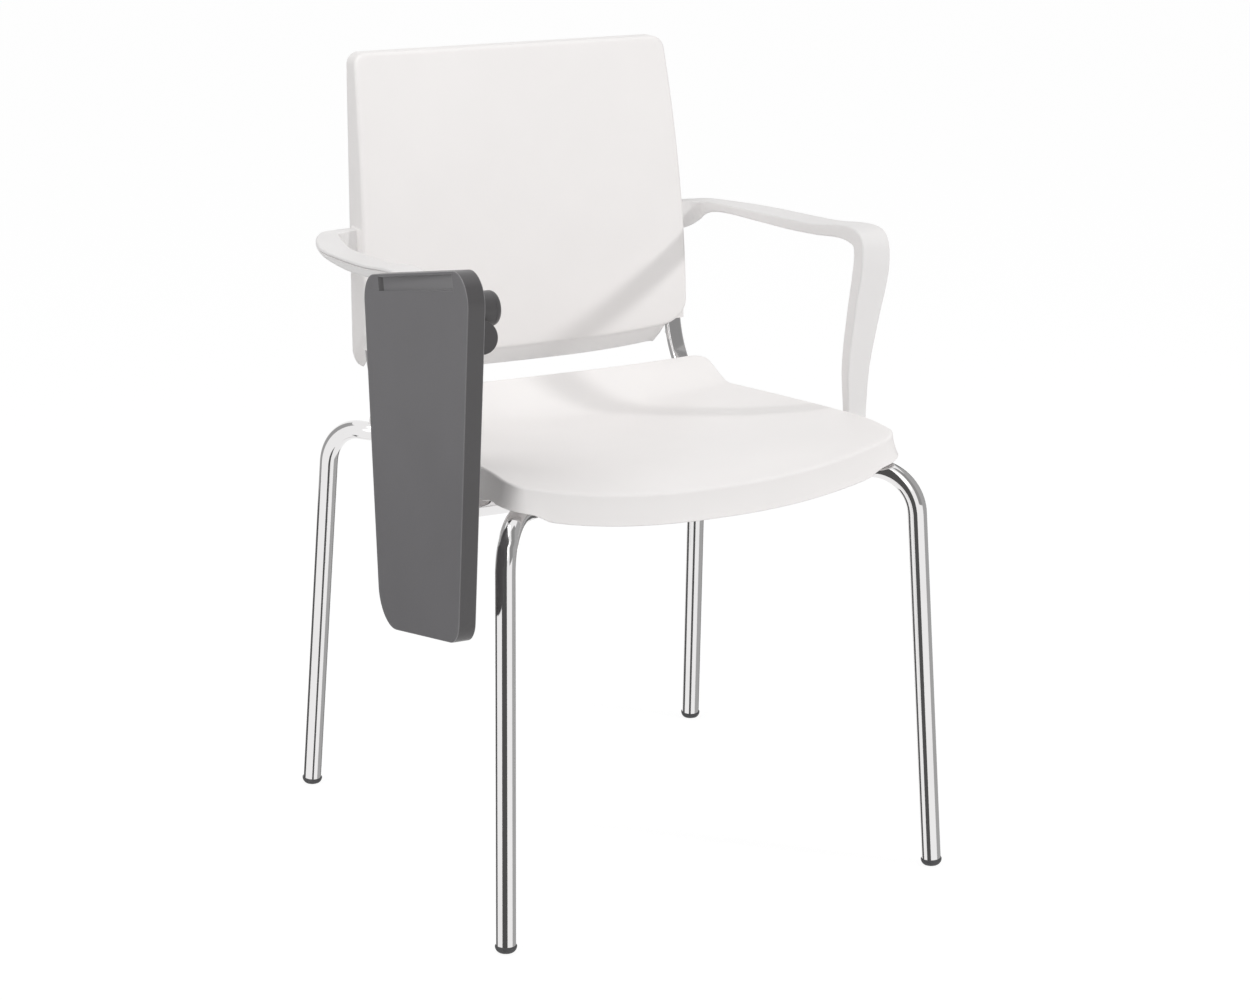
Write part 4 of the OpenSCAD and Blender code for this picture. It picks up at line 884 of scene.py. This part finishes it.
def armRings():
    # a rounded rectangle across the arm's line at each cut, grooved and thinned on its outer side
    rows = smoothStations(armStations(), arms["cuts"])
    place = rows[:, :3]
    ahead = unit(np.gradient(place, axis=0))
    ahead[0] = (1, 0, 0)
    wide = unit(rows[:, 3:6] - (rows[:, 3:6] * ahead).sum(1, keepdims=True) * ahead)
    thick = np.cross(ahead, wide)
    w, t, r, corner = rows[:, 6:7] / 2, rows[:, 7:8] / 2, arms["soft"], 8
    u, v = roundedRectangle(w, t, r, corner)
    # round the rear bend the underside slopes up to a thinner outer edge
    along = np.arange(len(rows))[:, None] / arms["cuts"]
    rise, full, fall, end = arms["wedgeSpan"]
    bend = smoothStep((along - rise) / (full - rise)) * (1 - smoothStep((along - fall) / (end - fall)))
    most = 2 * (t - r) - arms["partingUnder"] - arms["partingWide"] - arms["wedgeFlank"]
    v[:, 3 * corner:] += np.minimum(arms["wedge"] * bend, most)
    # a fine parting groove runs along the outer flank, just under the upper skin
    under, step = t - r - arms["partingUnder"], arms["partingWide"] / 2
    u = np.concatenate([w, w - arms["partingDeep"], w, u], 1)
    v = np.concatenate([under - 2 * step, under - step, under, v], 1)
    return place[:, None] + wide[:, None] * u[..., None] + thick[:, None] * v[..., None]


def makeArm(side, name):
    # the foot is a short boss round the screw, with a counterbored outer face
    r, long = arms["footWide"] / 2, arms["footLong"]
    bore, counter, floor = arms["bore"], arms["counterbore"], long - arms["counterDeep"]
    ease, turn, middle, rim = arms["footEase"], arms["footRound"], arms["roundMiddle"], arms["counterEase"]
    profile = [(bore, 0), (r - ease, 0), (r, ease),
               (r, long - turn), (r - middle, long - middle), (r - turn, long),
               (counter + rim, long), (counter, long - rim), (counter, floor), (bore, floor)]
    foot = lathe(profile, 48, (armFootX, -crossTube["ahead"], crossZ), (1, 0, 0), (0, 0, 1))
    groups = [(armRings(), True), (foot, True)]
    if name == "right":
        groups.append(roundedBlock(bracket["padLow"], bracket["padHigh"], bracket["padRound"], 1))
    points, faces = joinRings(groups)
    if side < 0:
        points = points * (-1, 1, 1)
        faces = [f[::-1] for f in faces]
    # the arms take the darker copy of the white plastic: painted shade
    newPiece(name + "Arm", points, faces, armShadedPlastic,
             "chair", name + "_arm", sharpAngles["shell"], True)


makeBack()
makeArm(1, "left")
makeArm(-1, "right")
print("back and arms made")


# Tablet and its mechanism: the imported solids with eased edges

mechanism = {      # node, body, slot, width of the easing in mm, its steps
    "tabletBoard": ("tablet_board", "tablet", "slate_board", 1.2, 3),
    "tabletCarrier": ("tablet_carrier", "tablet", "dark_plastic", 1.0, 3),
    "hingeCaps": ("hinge_caps", "tablet", "dark_plastic", 0.6, 3),
    "swingBlock": ("swing_block", "swing", "dark_plastic", 1.0, 3),
    "barrelCap": ("barrel_cap", "swing", "dark_plastic", 0.4, 2),
    "armBracket": ("arm_bracket", "chair", "dark_plastic", 1.2, 3),
    "axleNut": ("axle_nut", "chair", "plated_steel", 0.4, 2),
    "swingAxle": ("swing_axle", "chair", "plated_steel", 0.5, 2)}
easing = {"weld": 2e-6, "flatAngle": 0.4, "sharpAngle": 35}
# the edge index is the lighter slate of painted highlight and painted light
board = {"faceTurn": -0.98, "grooveDeep": 0.0005, "face": 0, "body": 1, "edge": 2}


def paintBoard(mesh):
    # a slate writing face on a darker moulded body; the bevels and the pen groove's floor take a lighter
    # slate, a painted highlight on the bevels and painted light on the groove's floor
    mesh.materials.append(darkPlastic)
    mesh.materials.append(slatePaintedHighlight)
    facing, centre = np.zeros(len(mesh.polygons) * 3), np.zeros(len(mesh.polygons) * 3)
    mesh.polygons.foreach_get("normal", facing)
    mesh.polygons.foreach_get("center", centre)
    flat = facing[::3] <= board["faceTurn"]
    deep = centre[::3] > centre[::3].min() + board["grooveDeep"]
    choice = np.where(flat, np.where(deep, board["edge"], board["face"]), board["body"])
    mesh.polygons.foreach_set("material_index", choice.astype(np.int32))


def easedCopy(name, node, body, slot, width, segments):
    # the node's own surface, welded, flat faces joined, every sharp edge rounded
    shape = bmesh.new()
    shape.from_mesh(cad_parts[node].data)
    bmesh.ops.remove_doubles(shape, verts=shape.verts[:], dist=easing["weld"])
    bmesh.ops.dissolve_limit(shape, angle_limit=math.radians(easing["flatAngle"]),
                             verts=shape.verts[:], edges=shape.edges[:])
    mesh = bpy.data.meshes.new(name)
    shape.to_mesh(mesh)
    shape.free()
    mesh.polygons.foreach_set("use_smooth", [True] * len(mesh.polygons))
    mesh.set_sharp_from_angle(angle=math.radians(easing["sharpAngle"]))
    mesh.materials.clear()
    mesh.materials.append(slotMaterial[slot])
    piece = addObject(name, mesh)
    soft = piece.modifiers.new("softEdges", "BEVEL")
    soft.width = width / 1000
    soft.segments = segments
    soft.limit_method = "ANGLE"
    soft.angle_limit = math.radians(easing["sharpAngle"])
    soft.harden_normals = True
    if name == "tabletBoard":
        paintBoard(mesh)
        # the rounded edges take the lighter slate: a painted highlight along them
        soft.material = board["edge"]
    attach(piece, body)
    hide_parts(node)


for pieceName, pieceValues in mechanism.items():
    easedCopy(pieceName, *pieceValues)
print("tablet and mechanism made")


# Screws with a hexagon socket

screws = {
    "diameter": 5.0, "head": 9.0, "tall": 3.0, "socket": 4.0, "points": 36,
    "socketMiddle": 0.1, "socketFloor": 0.4, "socketEase": 0.15, "ease": 0.6, "easeMiddle": 0.18,
    "seatLong": 22.0, "lockLong": 7.0, "rootLong": 22.0, "rootZ": (-9.0, 9.0),
    "bracketLong": 19.0, "carrierLong": 14.0, "carrierY": (-46.0, 0.0), "carrierZ": (-22.0, 22.0),
    "footDiameter": 8.0, "footHead": 12.8, "footTall": 6.0, "footSocket": 6.0, "footGrip": 15.0}
hinge = {"tilt": 10.7, "drop": 26.5, "ahead": 143.0, "z": 616.5, "leafIn": 299.45}


def hexRadius(across, count):
    # distance to a hexagon's sides, for points spread evenly round it
    a = np.linspace(0, 2 * math.pi, count, endpoint=False)
    return across / 2 / np.cos((a + math.pi / 6) % (math.pi / 3) - math.pi / 6)


def socketScrew(place, axis, length, d, headD, headH, across):
    # from the socket's floor up its six walls, over the head's eased edge, down to the shank's tip
    count, ease, middle, rim = screws["points"], screws["ease"], screws["easeMiddle"], screws["socketEase"]
    axis = unit(axis)
    helper = (0, 0, 1) if abs(axis[2]) < 0.9 else (1, 0, 0)    # any direction well off the axis
    socket, full = hexRadius(across, count), np.ones(count)
    floor, head, shank = -headH * screws["socketFloor"], headD / 2, d / 2
    rows = [(socket * screws["socketMiddle"], floor), (socket, floor),
            (socket, rim - headH), (socket + rim, -headH), (full * (head - ease), -headH),
            (full * (head - middle), middle - headH), (full * head, ease - headH), (full * head, 0),
            (full * shank, 0), (full * shank, length - ease), (full * (shank - ease), length)]
    x = unit(np.cross(axis, helper))
    y = np.cross(axis, x)
    a = np.linspace(0, 2 * math.pi, count, endpoint=False)[:, None]
    turn = np.cos(a) * x + np.sin(a) * y
    return np.array([np.asarray(place, float) + turn * r[:, None] + axis * h for r, h in rows])


def makeScrews(name, node, body, items):
    # each item is the seat of the head, the direction into the work, the length and the sizes
    points, faces = joinRings([(socketScrew(*item), True) for item in items])
    newPiece(name, points, faces, platedSteel, body, node, sharpAngles["screw"])


def smallScrew(place, axis, length):
    # a place, direction and length with the sizes of the small screws
    return (place, axis, length, screws["diameter"], screws["head"], screws["tall"], screws["socket"])


def footScrew(side):
    # the head sits on the floor of the foot's counterbore, and the shank reaches into the tube's plug
    x = armFootX + fitGap + arms["footLong"] - arms["counterDeep"]
    length = x - crossTube["half"] + screws["footGrip"]
    return ((side * x, -crossTube["ahead"], crossZ), (-side, 0, 0), length,
            screws["footDiameter"], screws["footHead"], screws["footTall"], screws["footSocket"])


def onHinge(x, y, z):
    # from the hinge's own frame, counted outwards, to the chair's frame on the sitter's right
    c, s = math.cos(math.radians(hinge["tilt"])), math.sin(math.radians(hinge["tilt"]))
    z = z - hinge["drop"]
    return np.array([-x, y * c + z * s - hinge["ahead"], hinge["z"] - y * s + z * c])


underRail = rails["z"] - rails["thick"] / 2 - fitGap
makeScrews("seatScrews", "seat_screws", "chair", [
    smallScrew((side * rails["x"], y, underRail), (0, 0, 1), screws["seatLong"])
    for side in bothSides for y in seat["bossY"]])

lockZ = (back["low"] + rails["top"]) / 2
lockLean = math.radians(rails["lean"])
lockAxis = np.array([0, -math.cos(lockLean), math.sin(lockLean)])
lockReach = rails["thick"] / 2 + back["sleeveWall"] + fitGap
lockPlace = np.array([0, uprightY(lockZ), lockZ]) - lockAxis * lockReach
makeScrews("backScrews", "back_screws", "chair", [
    smallScrew(lockPlace + (side * rails["x"], 0, 0), lockAxis, screws["lockLong"]) for side in bothSides])

padInner = backHalf(arms["rootZ"]) + back["padOut"] - back["padWide"] - fitGap
makeScrews("armRootScrews", "arm_root_screws", "chair", [
    smallScrew((side * padInner, arms["rootY"], arms["rootZ"] + dz), (side, 0, 0), screws["rootLong"])
    for side in bothSides for dz in screws["rootZ"]])

makeScrews("armFootScrews", "arm_foot_screws", "chair", [footScrew(side) for side in bothSides])

plateX = -(bracket["padLow"][0] + bracket["padHigh"][0]) / 2
plateFace = bracket["padLow"][1] - bracket["plate"] - 2 * fitGap
plateZ = (bracket["padLow"][2] + bracket["screwIn"], bracket["padHigh"][2] - bracket["screwIn"])
makeScrews("bracketScrews", "bracket_screws", "chair", [
    smallScrew((plateX, plateFace, z), (0, 1, 0), screws["bracketLong"]) for z in plateZ])

makeScrews("carrierScrews", "carrier_screws", "tablet", [
    smallScrew(onHinge(hinge["leafIn"] - fitGap, y, z), (-1, 0, 0), screws["carrierLong"])
    for y in screws["carrierY"] for z in screws["carrierZ"]])
print("screws made")


# The solids that stay as packed

packedSlots = {
    "tube_end_plugs": "plated_steel", "hinge_pin": "plated_steel",
    "axle_washers": "nylon", "hinge_washers": "nylon"}
for node, slotName in packedSlots.items():
    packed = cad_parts[node]
    packed.data.materials.clear()
    packed.data.materials.append(slotMaterial[slotName])
